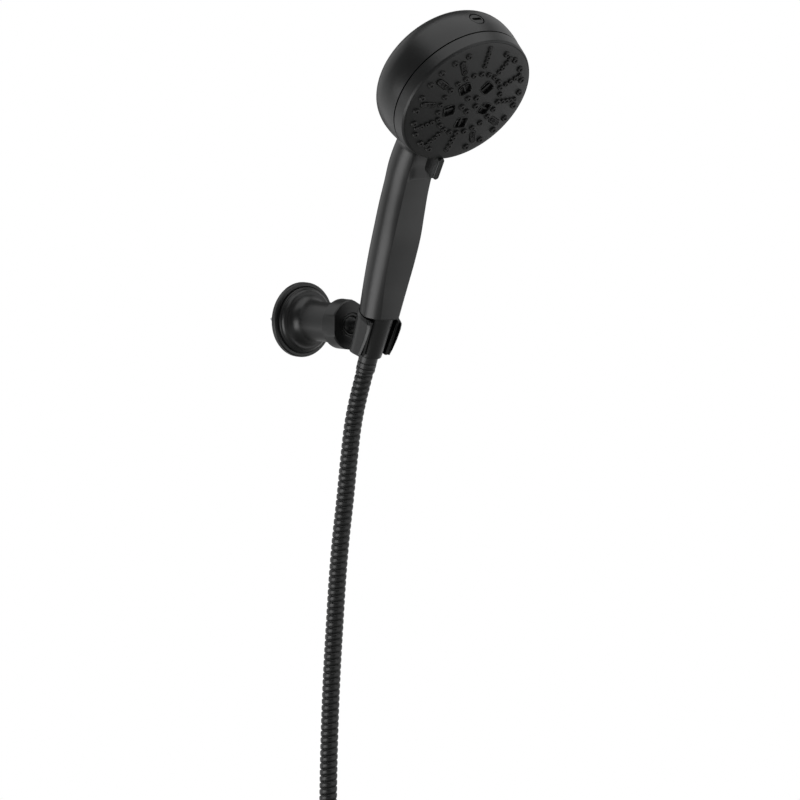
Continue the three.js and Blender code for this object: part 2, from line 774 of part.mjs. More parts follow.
function waterTube() {
  const headPoint = (v, depth) => new THREE.Vector3(0, v, depth).applyMatrix4(headPlace);
  const path = [
    new THREE.Vector3(0, 0.3, TUBE_BOTTOM),
    new THREE.Vector3(0, 0.5, 24),
    new THREE.Vector3(0, 1.9, 48),
    new THREE.Vector3(0, 3.6, 84),
    new THREE.Vector3(0, 5, 112),
    headPoint(-66, INLET_DEPTH - 1.2),
    headPoint(INLET_FROM + 8, INLET_DEPTH),
  ];
  return piece("water_tube", swept(circle(TUBE_R, 8), path, 12, circle(TUBE_BORE_R, 6)), WHITE_PLASTIC);
}

// ---- spray head, in the head's frame ----

function faceHeight(r) {
  return FACE_APEX - r ** 2 / (2 * FACE_SPHERE_R);
}

function domePoints(radii, drop) {
  return radii.map((r) => [r, faceHeight(r) - drop]);
}

// Everything that stands out through the face, as one list of cutters or studs that reach
// from a depth under the face to a rise over it.
function nozzleShapes(extra, depth, rise, pillRise) {
  const shapes = [];
  const stud = (radius, distance, angle) => {
    const face = faceHeight(distance);
    shapes.push(atAngle(disc(radius + extra, face - depth, face + rise, HOLE_SIDES), distance, angle));
  };
  around(RING_COUNT, (angle) => stud(NOZZLE_R, RING_R, angle));
  around(OUTER_COUNT, (angle, i) => {
    const topOrBottom = i % (OUTER_COUNT / 2) === 0 || (i + 1) % (OUTER_COUNT / 2) === 0;
    if (!topOrBottom) stud(NOZZLE_R + 0.2, OUTER_R, angle + Math.PI / OUTER_COUNT);
  });
  around(KINETIC_COUNT, (angle) => stud(NOZZLE_R + 0.3, CENTRE_R, angle + Math.PI / KINETIC_COUNT));
  const middle = (PILL_FROM + PILL_TO) / 2;
  const pill = rectangle(PILL_WIDE + 2 * extra, PILL_TO - PILL_FROM + 2 * extra);
  around(PILL_COUNT, (angle) => {
    const face = faceHeight(middle);
    shapes.push(atAngle(pushed(pill, face - depth, face + pillRise), middle, angle));
  });
  return shapes;
}

function facePlate() {
  const radii = [FACE_R, 40, 20, 0];
  const inside = [0, 20, 40, FACE_R - 1.8];
  let body = solid(turned([
    ...domePoints(inside, FACE_THICK),
    [FACE_R - 1.8, SKIRT_BACK],
    [FACE_R, SKIRT_BACK],
    [FACE_R, faceHeight(FACE_R) - 1],
    [FACE_R - 0.8, faceHeight(FACE_R) - 0.1],
    ...domePoints(radii.slice(1), 0),
  ]));
  for (const hole of nozzleShapes(GAP, FACE_THICK + 2, 4, 4)) body = body.subtract(solid(hole));
  around(KINETIC_COUNT, (angle) => {
    const slot = pushed(rectangle(KINETIC_WIDE, KINETIC_TALL, 1.6), -8, 5);
    body = body.subtract(solid(atAngle(slot, KINETIC_R, angle + Math.PI / KINETIC_COUNT)));
  });
  return piece("face_plate", body, MATTE_BLACK);
}

function nozzleMat() {
  const drop = FACE_THICK + GAP;
  const radii = [MAT_R, 36, 18, 0];
  let body = solid(turned([
    ...domePoints(radii.toReversed(), drop + MAT_THICK),
    ...domePoints(radii, drop),
  ]));
  const studs = nozzleShapes(0, drop + MAT_THICK / 2, NOZZLE_RISE, PILL_RISE);
  for (const stud of studs) body = body.add(solid(stud));
  return piece("nozzle_mat", body, BLACK_RUBBER);
}

function kineticInserts() {
  const outline = rectangle(KINETIC_WIDE - 2 * GAP, KINETIC_TALL - 2 * GAP, 1.5);
  const slot = rectangle(KINETIC_WIDE - 3.6, 2);
  const low = faceHeight(KINETIC_R) - FACE_THICK + 0.1;
  return around(KINETIC_COUNT, (angle, i) => {
    const shape = pushed(outline, low, faceHeight(KINETIC_R) - 0.2, [slot]);
    const placed = atAngle(shape, KINETIC_R, angle + Math.PI / KINETIC_COUNT);
    return piece(`kinetic_insert_${i + 1}`, placed, INNER_PLASTIC);
  });
}

function sprayPlate() {
  const ribTop = (r) => faceHeight(r) - FACE_THICK - MAT_THICK - 2 * GAP;
  const rib = (from, to) => [
    [to, SPRAY_FLOOR],
    [to, ribTop(to)],
    [from, ribTop(to)],
    [from, SPRAY_FLOOR],
  ];
  return piece("spray_plate", turned([
    [BOLT_TIP_R + GAP, SPRAY_CORE],
    [BOLT_TIP_R + GAP, SPRAY_BACK],
    [MAT_R, SPRAY_BACK],
    ...rib(50.6, MAT_R).slice(1),
    ...rib(30.6, 31.6),
    ...rib(11.4, 12.4),
    [0, SPRAY_FLOOR],
    [0, SPRAY_CORE],
  ], 24), INNER_PLASTIC);
}

function selectorRing() {
  const body = solid(turned([
    [RING_BACK_R, RING_BACK],
    [(RING_BACK_R + RING_FRONT_R) / 2 + 0.15, (RING_BACK + RING_FRONT) / 2],
    [RING_FRONT_R, RING_FRONT],
    [RING_BORE_R, RING_FRONT],
    [RING_BORE_R, WEB_FRONT],
    [DISC_R + GAP, WEB_FRONT],
    [DISC_R + GAP, RING_BACK],
  ]));
  const side = [
    [-FACE_R - 0.8, -3.4],
    [-69.5, -0.6],
    [-71.6, -2.2],
    [-71.8, -11.6],
    [-70.4, -12.9],
    [-63.4, RING_BACK],
    [-FACE_R - 0.8, RING_BACK],
  ];
  // the outline stands in the plane x = 0, first coordinate up the face, second out of it
  const tab = pushed(side, -TAB_WIDE / 2, TAB_WIDE / 2);
  tab.applyMatrix4(new THREE.Matrix4().set(0, 0, 1, 0, 1, 0, 0, 0, 0, 1, 0, 0, 0, 0, 0, 1));
  return piece("selector_ring", body.add(solid(tab)), MATTE_BLACK);
}

function diverterDisc() {
  let body = solid(ring(POST_BOLT_R + GAP, DISC_R, DISC_BACK, WEB_FRONT, 24));
  around(DISC_PORTS, (angle) => {
    const port = disc(2.4, DISC_BACK - 1, WEB_FRONT + 1, 8);
    body = body.subtract(solid(atAngle(port, DISC_PORT_AT, angle)));
  });
  return piece("diverter_disc", body, WHITE_PLASTIC);
}

function portPlate() {
  const bolt = POST_BOLT_R + GAP;
  const plate = solid(ring(bolt, PORT_PLATE_R, PORT_PLATE_BACK, PORT_PLATE_FRONT, BIG_SIDES));
  const alongFace = (geometry) => geometry.rotateX(-Math.PI / 2).translate(0, 0, INLET_DEPTH);
  const inlet = solid(alongFace(disc(INLET_R, INLET_FROM, INLET_TO, 14)));
  const bore = solid(alongFace(disc(TUBE_R + 2 * GAP, INLET_FROM - 1, INLET_TO - 8, 14)));
  const groove = solid(alongFace(disc(7.3, INLET_FROM + 3, INLET_FROM + 5, 14)));
  const port = solid(disc(3.4, INLET_DEPTH, 0, 8).translate(0, INLET_TO - 12, 0));
  const sealPocket = solid(disc(3.3, PORT_PLATE_FRONT - 2.8, 0, 10).translate(0, -DISC_PORT_AT, 0));
  const ballPocket = solid(disc(2.2, PORT_PLATE_BACK + 0.4, 0, 10).translate(0, DETENT_AT, 0));
  let body = plate.add(inlet).subtract(bore).subtract(groove).subtract(port);
  body = body.subtract(sealPocket).subtract(ballPocket);
  around(3, (angle) => {
    const screwHole = disc(1.8, PORT_PLATE_BACK - 1, 0, 8);
    body = body.subtract(solid(atAngle(screwHole, SCREWS_AT, angle + Math.PI / 6)));
  });
  return piece("port_plate", body, INNER_PLASTIC);
}

function engineScrews() {
  return around(3, (angle, i) => {
    const shape = disc(1.5, PORT_PLATE_BACK - 6, PORT_PLATE_FRONT - 0.6, 8);
    return piece(`engine_screw_${i + 1}`, atAngle(shape, SCREWS_AT, angle + Math.PI / 6), STEEL);
  });
}

function sealsAndBolt() {
  const sealTop = DISC_BACK - GAP;
  const pocket = PORT_PLATE_FRONT - 2.8;
  const ballMiddle = RING_BACK - GAP - 1.9;
  const bolt = turned([
    [0, PORT_PLATE_BACK - GAP - 2.4],
    [7.5, PORT_PLATE_BACK - GAP - 2.4],
    [7.5, PORT_PLATE_BACK - GAP],
    [POST_BOLT_R, PORT_PLATE_BACK - GAP],
    [POST_BOLT_R, SPRAY_BACK - GAP],
    [BOLT_TIP_R, SPRAY_BACK - GAP],
    [BOLT_TIP_R, SPRAY_CORE - GAP],
    [0, SPRAY_CORE - GAP],
  ], 16);
  const seal = ring(1.6, 3, pocket + 1.2, sealTop, 10).translate(0, -DISC_PORT_AT, 0);
  const sealSpring = ring(2, 2.9, pocket + GAP, pocket + 0.9, 10).translate(0, -DISC_PORT_AT, 0);
  const ballSpring = ring(1, 1.7, PORT_PLATE_BACK + 0.7, ballMiddle - 2.2, 8);
  return [
    piece("engine_bolt", bolt, BRASS),
    piece("rotor_seal", ring(45, 48, PORT_PLATE_FRONT + GAP, RING_BACK - GAP, 28), BLACK_RUBBER),
    piece("diverter_seal", seal, BLACK_RUBBER),
    piece("diverter_spring", sealSpring, STEEL),
    piece("detent_ball", new THREE.SphereGeometry(1.9, 10, 6).translate(0, DETENT_AT, ballMiddle), STEEL),
    piece("detent_spring", ballSpring.translate(0, DETENT_AT, 0), STEEL),
  ];
}

// ---- hose ----

function handsetPoint(z) {
  return new THREE.Vector3(
    0,
    -HANDSET_OUT - z * Math.sin(LEAN),
    HANDSET_UP + z * Math.cos(LEAN),
  );
}

function coneNut() {
  return piece("cone_nut", turned([
    [NUT_BOTTOM_R - 0.7, NUT_BOTTOM],
    [NUT_BOTTOM_R, NUT_BOTTOM + 0.8],
    [NUT_TOP_R, NUT_TOP - 0.8],
    [NUT_TOP_R - 0.7, NUT_TOP],
    [NUT_BORE_R, NUT_TOP],
    [NUT_BORE_R, NUT_SHOULDER],
    [STEM_BORE_R, NUT_SHOULDER],
    [STEM_BORE_R, NUT_BOTTOM],
  ], 22), MATTE_BLACK);
}

const FERRULE_TOP = NUT_BOTTOM - 0.4;
const FERRULE_BOTTOM = FERRULE_TOP - FERRULE_LONG;
// the hose's round end turns in the mouth of its insert
const HOSE_PIVOT = FERRULE_BOTTOM - GAP - 0.1 - Math.sqrt(HOSE_R ** 2 - INSERT_BORE_R ** 2);

function hoseEnd() {
  const washerTop = NIPPLE_BOTTOM - GAP;
  const flangeTop = washerTop - WASHER_THICK - GAP;
  const insert = turned([
    [INSERT_R, FERRULE_BOTTOM],
    [INSERT_R, NUT_SHOULDER + GAP],
    [INSERT_FLANGE_R, NUT_SHOULDER + GAP],
    [INSERT_FLANGE_R, flangeTop],
    [INSERT_BORE_R, flangeTop],
    [INSERT_BORE_R, FERRULE_BOTTOM],
  ], 16);
  return [
    piece("inlet_washer", ring(4.6, INSERT_FLANGE_R, washerTop - WASHER_THICK, washerTop), BLACK_RUBBER),
    piece("hose_insert", insert, BRASS),
    piece("upper_ferrule", ring(INSERT_R + GAP, FERRULE_R, FERRULE_BOTTOM, FERRULE_TOP), BLACK_METAL),
  ];
}

function hoseTube() {
  const start = handsetPoint(HOSE_PIVOT);
  const way = HOSE_WAY.map(([out, up]) => new THREE.Vector3(0, -out, up));
  const end = new THREE.Vector3(0, -COIL_OUT, COIL_MIDDLE_Z + COIL_CLEAR);
  const tube = solid(swept(circle(HOSE_R, HOSE_SIDES), [start, ...way, end], 32));
  const knuckle = new THREE.SphereGeometry(HOSE_R, 10, 6).translate(start.x, start.y, start.z);
  return piece("hose", tube.add(solid(knuckle)), BLACK_METAL);
}

const COIL_BACK = -COIL_OUT + COIL_HALF;
const COIL_LONG = COIL_TURNS * COIL_PITCH + 2 * COIL_HALF;
const TAIL_OUT = COIL_OUT + COIL_TURNS * COIL_PITCH;

function hoseCoil() {
  const section = ring(COIL_R - COIL_HALF, COIL_R + COIL_HALF, 0, COIL_LONG, 32);
  return piece(
    "hose_coil",
    section.rotateX(Math.PI / 2).translate(COIL_R, COIL_BACK, COIL_MIDDLE_Z),
    BLACK_METAL,
  );
}

function coilTie() {
  const long = COIL_LONG + 2 * GAP;
  const tall = 2 * COIL_HALF + GAP + TIE_SLACK;
  const inside = rectangle(long, tall);
  const outside = rectangle(long + 2 * TIE_THICK, tall + 2 * TIE_THICK, 1);
  // upright plane across the coil's top: first coordinate out from the wall, second up
  const shape = pushed(outside, -TIE_WIDE / 2, TIE_WIDE / 2, [inside]);
  shape.rotateX(Math.PI / 2).rotateZ(Math.PI / 2);
  const middle = COIL_MIDDLE_Z + COIL_R - (TIE_SLACK - GAP) / 2;
  const place = [COIL_R, COIL_BACK - COIL_LONG / 2, middle];
  return piece("coil_tie", shape.translate(...place), BLACK_RUBBER);
}

function hoseTail() {
  const from = new THREE.Vector3(0, -TAIL_OUT, COIL_MIDDLE_Z - COIL_CLEAR);
  const to = new THREE.Vector3(0, -TAIL_OUT, TAIL_END);
  return piece("hose_tail", swept(circle(HOSE_R, HOSE_SIDES), [from, to], 6), BLACK_METAL);
}

// The wall-supply end, hanging straight down from the tail. Its frame has the hose's end at z = 0.
function supplyEnd() {
  const ferruleBottom = -GAP - 18;
  const nutTop = ferruleBottom - 0.4;
  const nutBottom = nutTop - HEX_TALL;
  const hexRadius = HEX_FLATS / 2 / Math.cos(Math.PI / 6);
  const hex = solid(pushed(circle(hexRadius, 6), nutBottom, nutTop));
  const bore = solid(disc(9.6, nutBottom - 1, nutTop - 2.4, 20));
  const neck = solid(disc(STEM_BORE_R, nutBottom, nutTop + 1, 16));
  const insert = turned([
    [INSERT_BORE_R, nutTop - 4.6],
    [9, nutTop - 4.6],
    [9, nutTop - 2.4 - GAP],
    [INSERT_R, nutTop - 2.4 - GAP],
    [INSERT_R, -1],
    [INSERT_BORE_R, -1],
  ], 16);
  return group(
    piece("lower_ferrule", ring(INSERT_R + GAP, FERRULE_R + 0.4, ferruleBottom, -GAP), BLACK_METAL),
    piece("lower_insert", insert, BRASS),
    piece("hex_nut", hex.subtract(bore).subtract(neck), BLACK_METAL),
    piece("hex_nut_washer", ring(5.4, 9.2, nutTop - 6.9, nutTop - 4.9), BLACK_RUBBER),
  );
}

// ---- assembly ----

const head = new THREE.Group();
head.position.set(0, HEAD_Y, HEAD_Z);
head.rotation.x = HEAD_TURN;
head.add(
  facePlate(),
  nozzleMat(),
  ...kineticInserts(),
  sprayPlate(),
  selectorRing(),
  diverterDisc(),
  portPlate(),
  ...engineScrews(),
  ...sealsAndBolt(),
);

const tubeSeal = turned(circle(0.55, 6).map(([x, z]) => [6.4 + x, z]), 12);
const tubeRing = piece("tube_o_ring", tubeSeal, BLACK_RUBBER);
tubeRing.rotation.x = -Math.PI / 2;
tubeRing.position.set(0, INLET_FROM + 4, INLET_DEPTH);
head.add(tubeRing);

const handset = group(
  head,
  cradleClip(),
  cradleCover(),
  stemScrew(),
  bodyShell(),
  gripPanel(),
  retainingPlug(),
  inletNipple(),
  flowRegulator(),
  ...checkValve(),
  waterTube(),
  coneNut(),
  ...hoseEnd(),
);
handset.position.set(0, -HANDSET_OUT, HANDSET_UP);
handset.rotation.x = LEAN;

const wallSide = group(bracket(), swivelBall(), keyPin());
wallSide.rotation.x = Math.PI / 2;

const supply = supplyEnd();
supply.position.set(0, -TAIL_OUT, TAIL_END);

const shower = group(wallSide, handset, hoseTube(), hoseCoil(), coilTie(), hoseTail(), supply);

export default shower;
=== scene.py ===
import json
import math

import bmesh
import bpy
import numpy as np
from bpy.props import FloatProperty, FloatVectorProperty, IntProperty, PointerProperty
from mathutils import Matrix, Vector


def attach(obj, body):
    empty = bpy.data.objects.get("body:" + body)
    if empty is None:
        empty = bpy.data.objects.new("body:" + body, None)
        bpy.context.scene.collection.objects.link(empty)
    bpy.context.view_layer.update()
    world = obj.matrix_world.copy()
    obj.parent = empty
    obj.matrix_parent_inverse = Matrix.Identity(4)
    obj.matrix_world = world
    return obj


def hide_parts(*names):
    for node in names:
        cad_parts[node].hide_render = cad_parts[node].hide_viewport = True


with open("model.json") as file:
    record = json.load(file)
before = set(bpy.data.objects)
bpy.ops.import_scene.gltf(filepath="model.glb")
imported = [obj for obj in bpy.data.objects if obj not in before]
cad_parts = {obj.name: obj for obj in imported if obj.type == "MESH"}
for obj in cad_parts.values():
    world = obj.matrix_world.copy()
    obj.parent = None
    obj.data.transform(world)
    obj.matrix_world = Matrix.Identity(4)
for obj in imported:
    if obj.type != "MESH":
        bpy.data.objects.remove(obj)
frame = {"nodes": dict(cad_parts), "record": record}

bl_info = {
    "name": "Handheld Shower Head",
    "version": (1, 0, 0),
    "blender": (4, 5, 0),
    "location": "3D View > Sidebar > Shower",
    "description": "A handheld shower head in its swivelling wall bracket, with a metal hose",
    "category": "Object",
}

MM = 0.001  # shapes are worked out in millimetres and stored in metres
TAU = 2 * math.pi
CREASE = 38  # degrees between faces past which their edge is sharp


# ---- places ----

def tilted(degrees, origin):
    """A frame turned about X: the matrix whose columns are its three directions, and its origin."""
    c = math.cos(math.radians(degrees))
    s = math.sin(math.radians(degrees))
    return np.array([[1, 0, 0], [0, c, -s], [0, s, c]]), np.array(origin, float)


HANDSET = tilted(21, (0, -93.7, 9.8))  # +Z up the handle, -Y away from the wall
HEAD_IN_HANDSET = tilted(103, (0, -40.4, 192.5))  # +Z out of the face, +Y up the face
ARM = tilted(90, (0, 0, 0))  # +Z out of the wall


def moved(points, place):
    """Points of a frame, each turned by its matrix and shifted by its origin."""
    matrix, origin = place
    return points @ matrix.T + origin


def unmoved(points, place):
    """The points seen from inside a frame: shifted back, then turned by the transpose."""
    matrix, origin = place
    return (points - origin) @ matrix


def in_head(points):
    return moved(moved(points, HEAD_IN_HANDSET), HANDSET)


def in_handset(points):
    return moved(points, HANDSET)


def in_arm(points):
    return moved(points, ARM)


# ---- sizes that several pieces share, in millimetres ----

FACE_APEX = 1.07
FACE_SPHERE_R = 350
RING_BACK = -14
SEAM = 0.8
NUT_TOP = 1.5
NUT_BOTTOM = -33
NUT_TOP_R = 11.8
NUT_BOTTOM_R = 9.3
HOSE_R = 6.7

# the hose's way in the plane x = 0: out from the wall, and up
HOSE_WAY = [
    (76.122, -35.993), (68.7, -55), (63.3, -72), (57.7, -102), (53, -133), (47.8, -163),
    (43.8, -194), (40.9, -224), (38, -255), (35.8, -285), (34.2, -315), (33.1, -346),
    (32.6, -376), (32.5, -406),
]
COIL_R = 76
COIL_TURNS = 2
COIL_PITCH = 14
COIL_OUT = 32.5
COIL_MIDDLE_Z = -452
TURNS_OUT = (-43.2, -56.8)  # where the two turns pass the strap
TAIL_OUT = 60.5
TAIL_END = -582

# the handle: height, shift of its middle towards the wall, radius, half angle of its flat front
HANDLE = np.array([
    (0, 0.05, 15.15, 33.5), (12, 0.8, 15.9, 36), (28, 1.4, 16.8, 42), (48, 1.9, 17.7, 46),
    (68, 2.6, 18, 46), (86, 4.1, 17.6, 44), (104, 5.1, 17.0, 42.5), (120, 5.3, 17.1, 43),
    (136, 2.9, 17.3, 43), (152, -0.6, 17, 43), (160, -2.5, 16.8, 43),
])


# ---- shapes ----

def smooth(at, knots, values):
    """A cubic through the knots: each span is a Hermite curve, and the slope at a knot is the
    weighted mean of the slopes on its two sides."""
    knots = np.asarray(knots, float)
    values = np.asarray(values, float)
    slopes = np.gradient(values, knots)
    i = np.clip(np.searchsorted(knots, at) - 1, 0, len(knots) - 2)
    step = knots[i + 1] - knots[i]
    t = (at - knots[i]) / step
    ends = values[i] * (1 + 2 * t) * (1 - t) ** 2 + values[i + 1] * t * t * (3 - 2 * t)
    return ends + step * (slopes[i] * t * (1 - t) ** 2 - slopes[i + 1] * t * t * (1 - t))


def step_up(at, low, high):
    """0 below low, 1 above high, and the cubic 3t^2 - 2t^3 between."""
    t = np.clip((np.asarray(at, float) - low) / (high - low), 0, 1)
    return t * t * (3 - 2 * t)


def rounded(corners, steps=6, closed=False):
    """A flat outline through corners (across, up, radius). Each corner with a radius becomes an
    arc that touches both of its sides, with one more point just outside each end of the arc so
    that the flats shade flat."""
    at = np.array([c[:2] for c in corners], float)
    made = []
    last = len(corners) - 1
    for i, corner in enumerate(corners):
        ends = not closed and i in (0, last)
        if ends or corner[2] == 0:
            made.append(at[i][None])
            continue
        before = at[i - 1] - at[i]
        after = at[(i + 1) % len(at)] - at[i]
        long_before, long_after = np.linalg.norm(before), np.linalg.norm(after)
        before /= long_before
        after /= long_after
        half = math.acos(np.clip(before @ after, -1, 1)) / 2
        if half > 1.56:
            made.append(at[i][None])
            continue
        reach = min(corner[2] / math.tan(half), 0.46 * long_before, 0.46 * long_after)
        radius = reach * math.tan(half)
        middle = at[i] + (before + after) / np.linalg.norm(before + after) * radius / math.sin(half)
        sweep = math.pi - 2 * half
        t = np.linspace(0, 1, steps)[:, None]
        start = at[i] + before * reach - middle
        end = at[i] + after * reach - middle
        arc = (np.sin((1 - t) * sweep) * start + np.sin(t * sweep) * end) / math.sin(sweep)
        spare = min(0.4 * radius + 0.05, 0.03 * min(long_before, long_after) + 0.02)
        made.append((at[i] + before * (reach + spare))[None])
        made.append(arc + middle)
        made.append((at[i] + after * (reach + spare))[None])
    return np.concatenate(made)


def turned(outline, sides=96):
    """An outline of (radius, height) carried round +Z: x = r cos a, y = r sin a."""
    outline = np.asarray(outline, float)
    a = np.linspace(0, TAU, sides, endpoint=False)
    r = outline[:, 0][:, None]
    z = np.repeat(outline[:, 1][:, None], sides, axis=1)
    return np.stack([r * np.cos(a), r * np.sin(a), z], axis=-1)


def block(wide, tall, corner, levels, arc=6):
    """A rounded rectangle carried up through levels (inset, height): a level's outline keeps the
    corner centres and takes the inset from the corner radius."""
    a = np.concatenate([np.linspace(q, q + 1, arc) for q in range(4)]) * TAU / 4
    middle_x = (wide / 2 - corner) * np.repeat([1, -1, -1, 1], arc)
    middle_y = (tall / 2 - corner) * np.repeat([1, 1, -1, -1], arc)
    levels = np.array(levels, float)
    r = corner - levels[:, 0][:, None]
    x = middle_x + r * np.cos(a)
    y = middle_y + r * np.sin(a)
    z = np.repeat(levels[:, 1][:, None], len(a), axis=1)
    return np.stack([x, y, z], axis=-1)


def shrunk(grid, share, row=-1):
    """One more row at the end of a grid: its last row drawn in towards that row's middle."""
    edge = grid[row]
    return edge.mean(axis=0) + (edge - edge.mean(axis=0)) * share


def capped(grid):
    """The grid with both of its ends closed by a fan onto the end row's middle."""
    return np.concatenate([shrunk(grid, 0, 0)[None], grid, shrunk(grid, 0)[None]])


def directions(path, first_side):
    """Unit tangents of a path, and two crossed unit sides carried along it without twist: each
    side is the last one with its part along the new tangent taken off."""
    tangent = np.gradient(path, axis=0)
    tangent /= np.linalg.norm(tangent, axis=1)[:, None]
    side = first_side - tangent * (tangent @ first_side)[:, None]
    side /= np.linalg.norm(side, axis=1)[:, None]
    return tangent, side, np.cross(tangent, side)


def evenly(points, gap):
    """Points along a polyline, a gap apart by its own length."""
    run = np.concatenate([[0], np.cumsum(np.linalg.norm(np.diff(points, axis=0), axis=1))])
    at = np.linspace(0, run[-1], int(round(run[-1] / gap)) + 1)
    return np.stack([np.interp(at, run, points[:, k]) for k in range(3)], axis=-1), run[-1]


def faces_of(rows, columns, first):
    """The four-cornered faces of a grid whose columns go all the way round."""
    number = first + np.arange(rows * columns).reshape(rows, columns)
    following = np.roll(number, -1, axis=1)
    quads = np.stack([number[:-1], following[:-1], following[1:], number[1:]], axis=-1)
    return quads.reshape(-1, 4)


def mesh_from(name, points, quads):
    """A mesh in metres from points in millimetres and their four-cornered faces."""
    mesh = bpy.data.meshes.new(name)
    mesh.vertices.add(len(points))
    mesh.vertices.foreach_set("co", (points * MM).astype(np.float32).ravel())
    mesh.loops.add(quads.size)
    mesh.loops.foreach_set("vertex_index", quads.astype(np.int32).ravel())
    mesh.polygons.add(len(quads))
    mesh.polygons.foreach_set("loop_start", np.arange(0, quads.size, 4, dtype=np.int32))
    mesh.update(calc_edges=True)
    return mesh


def linked(name, data):
    """A new object in the scene, at the origin."""
    made = bpy.data.objects.new(name, data)
    bpy.context.scene.collection.objects.link(made)
    return made


def shade(mesh, crease=CREASE):
    """Smooth faces, with the edges sharper than the crease's angle marked."""
    mesh.polygons.foreach_set("use_smooth", np.ones(len(mesh.polygons), bool))
    mesh.set_sharp_from_angle(angle=math.radians(crease))


def mesh_of(name, grids, crease=CREASE):
    """An object from closed grids in millimetres: every grid's columns wrap round, and doubled
    points, as at a pole, become one."""
    points = np.concatenate([g.reshape(-1, 3) for g in grids])
    starts = np.cumsum([0] + [g.shape[0] * g.shape[1] for g in grids])
    quads = np.concatenate([faces_of(*g.shape[:2], s) for g, s in zip(grids, starts)])
    mesh = mesh_from(name, points, quads)
    mesh.validate()
    return clean(name, mesh, crease)


def clean(name, mesh, crease):
    """The mesh with its doubled points joined, its faces outwards and its sharp edges marked."""
    work = bmesh.new()
    work.from_mesh(mesh)
    bmesh.ops.remove_doubles(work, verts=work.verts, dist=1e-6)
    bmesh.ops.dissolve_degenerate(work, edges=work.edges, dist=1e-7)
    bmesh.ops.recalc_face_normals(work, faces=work.faces)
    work.to_mesh(mesh)
    work.free()
    shade(mesh, crease)
    return linked(name, mesh)


def place_piece(made, body, slot, material, *nodes):
    """Gives a finished piece its material and body, and hides the CAD nodes that it stands for. The
    slot is not used.
    """
    made.data.materials.clear()
    made.data.materials.append(material)
    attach(made, body)
    if nodes:
        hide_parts(*nodes)
    return made


# ---- materials ----

def linear(code):
    """An sRGB hex colour as linear red, green, blue and full alpha."""
    values = [int(code[i:i + 2], 16) / 255 for i in (1, 3, 5)]
    return tuple(v / 12.92 if v <= 0.04045 else ((v + 0.055) / 1.055) ** 2.4 for v in values) + (1,)


def add_node(tree, kind, inputs=(), **settings):
    """Adds a node: settings are its own attributes, and inputs gives a socket a value or a link."""
    made = tree.nodes.new(kind)
    for key, value in settings.items():
        setattr(made, key, value)
    for key, value in dict(inputs).items():
        if isinstance(value, bpy.types.NodeSocket):
            tree.links.new(value, made.inputs[key])
        else:
            made.inputs[key].default_value = value
    return made


def new_material(name):
    """An empty material with its output, and the object's own coordinates."""
    material = bpy.data.materials.new(name)
    material.use_nodes = True
    tree = material.node_tree
    tree.nodes.clear()
    out = add_node(tree, "ShaderNodeOutputMaterial")
    where = add_node(tree, "ShaderNodeTexCoord").outputs["Object"]
    return material, tree, out, where


def coated(name, colour, rough, grain_mm, grain_deep, peel_mm, peel_deep, wear):
    """A coat or moulding: fine grain and slower waviness as bump, and small drifts of tone and
    gloss. Sizes are real, in millimetres."""
    material, tree, out, where = new_material(name)
    grain = add_node(tree, "ShaderNodeTexNoise", {
        "Vector": where, "Scale": 1 / (grain_mm * MM), "Detail": 2.0, "Roughness": 0.6})
    peel = add_node(tree, "ShaderNodeTexNoise", {
        "Vector": where, "Scale": 1 / (peel_mm * MM), "Detail": 1.0})
    drift = add_node(tree, "ShaderNodeTexNoise", {"Vector": where, "Scale": 45.0, "Detail": 3.0})
    tone = add_node(tree, "ShaderNodeMapRange", {
        "Value": drift.outputs["Fac"], "From Min": 0.3, "From Max": 0.7,
        "To Min": 1 - wear, "To Max": 1 + wear})
    painted = add_node(tree, "ShaderNodeVectorMath", {
        0: colour[:3], "Scale": tone.outputs[0]}, operation="SCALE")
    gloss = add_node(tree, "ShaderNodeMapRange", {
        "Value": grain.outputs["Fac"], "From Min": 0.3, "From Max": 0.7,
        "To Min": rough - 0.04, "To Max": rough + 0.04})
    fine = add_node(tree, "ShaderNodeBump", {
        "Height": grain.outputs["Fac"], "Distance": grain_deep * MM, "Strength": 1.0})
    both = add_node(tree, "ShaderNodeBump", {
        "Height": peel.outputs["Fac"], "Distance": peel_deep * MM, "Normal": fine.outputs[0]})
    shader = add_node(tree, "ShaderNodeBsdfPrincipled", {
        "Base Color": painted.outputs[0], "Roughness": gloss.outputs[0],
        "Normal": both.outputs[0]})
    tree.links.new(shader.outputs[0], out.inputs["Surface"])
    return material


def brushed(name, colour, rough, line_mm):
    """Turned or drawn metal: fine lines round or along the part, drawn as stretched noise."""
    material, tree, out, where = new_material(name)
    stretched = add_node(tree, "ShaderNodeMapping", {"Vector": where, "Scale": (1, 1, 14)})
    lines = add_node(tree, "ShaderNodeTexNoise", {
        "Vector": stretched.outputs[0], "Scale": 1 / (line_mm * 14 * MM), "Detail": 3.0})
    gloss = add_node(tree, "ShaderNodeMapRange", {
        "Value": lines.outputs["Fac"], "From Min": 0.3, "From Max": 0.7,
        "To Min": rough - 0.08, "To Max": rough + 0.08})
    bump = add_node(tree, "ShaderNodeBump", {"Height": lines.outputs["Fac"], "Distance": 0.01 * MM})
    shader = add_node(tree, "ShaderNodeBsdfPrincipled", {
        "Base Color": colour, "Roughness": gloss.outputs[0], "Normal": bump.outputs[0],
        "Metallic": 1.0})
    tree.links.new(shader.outputs[0], out.inputs["Surface"])
    return material


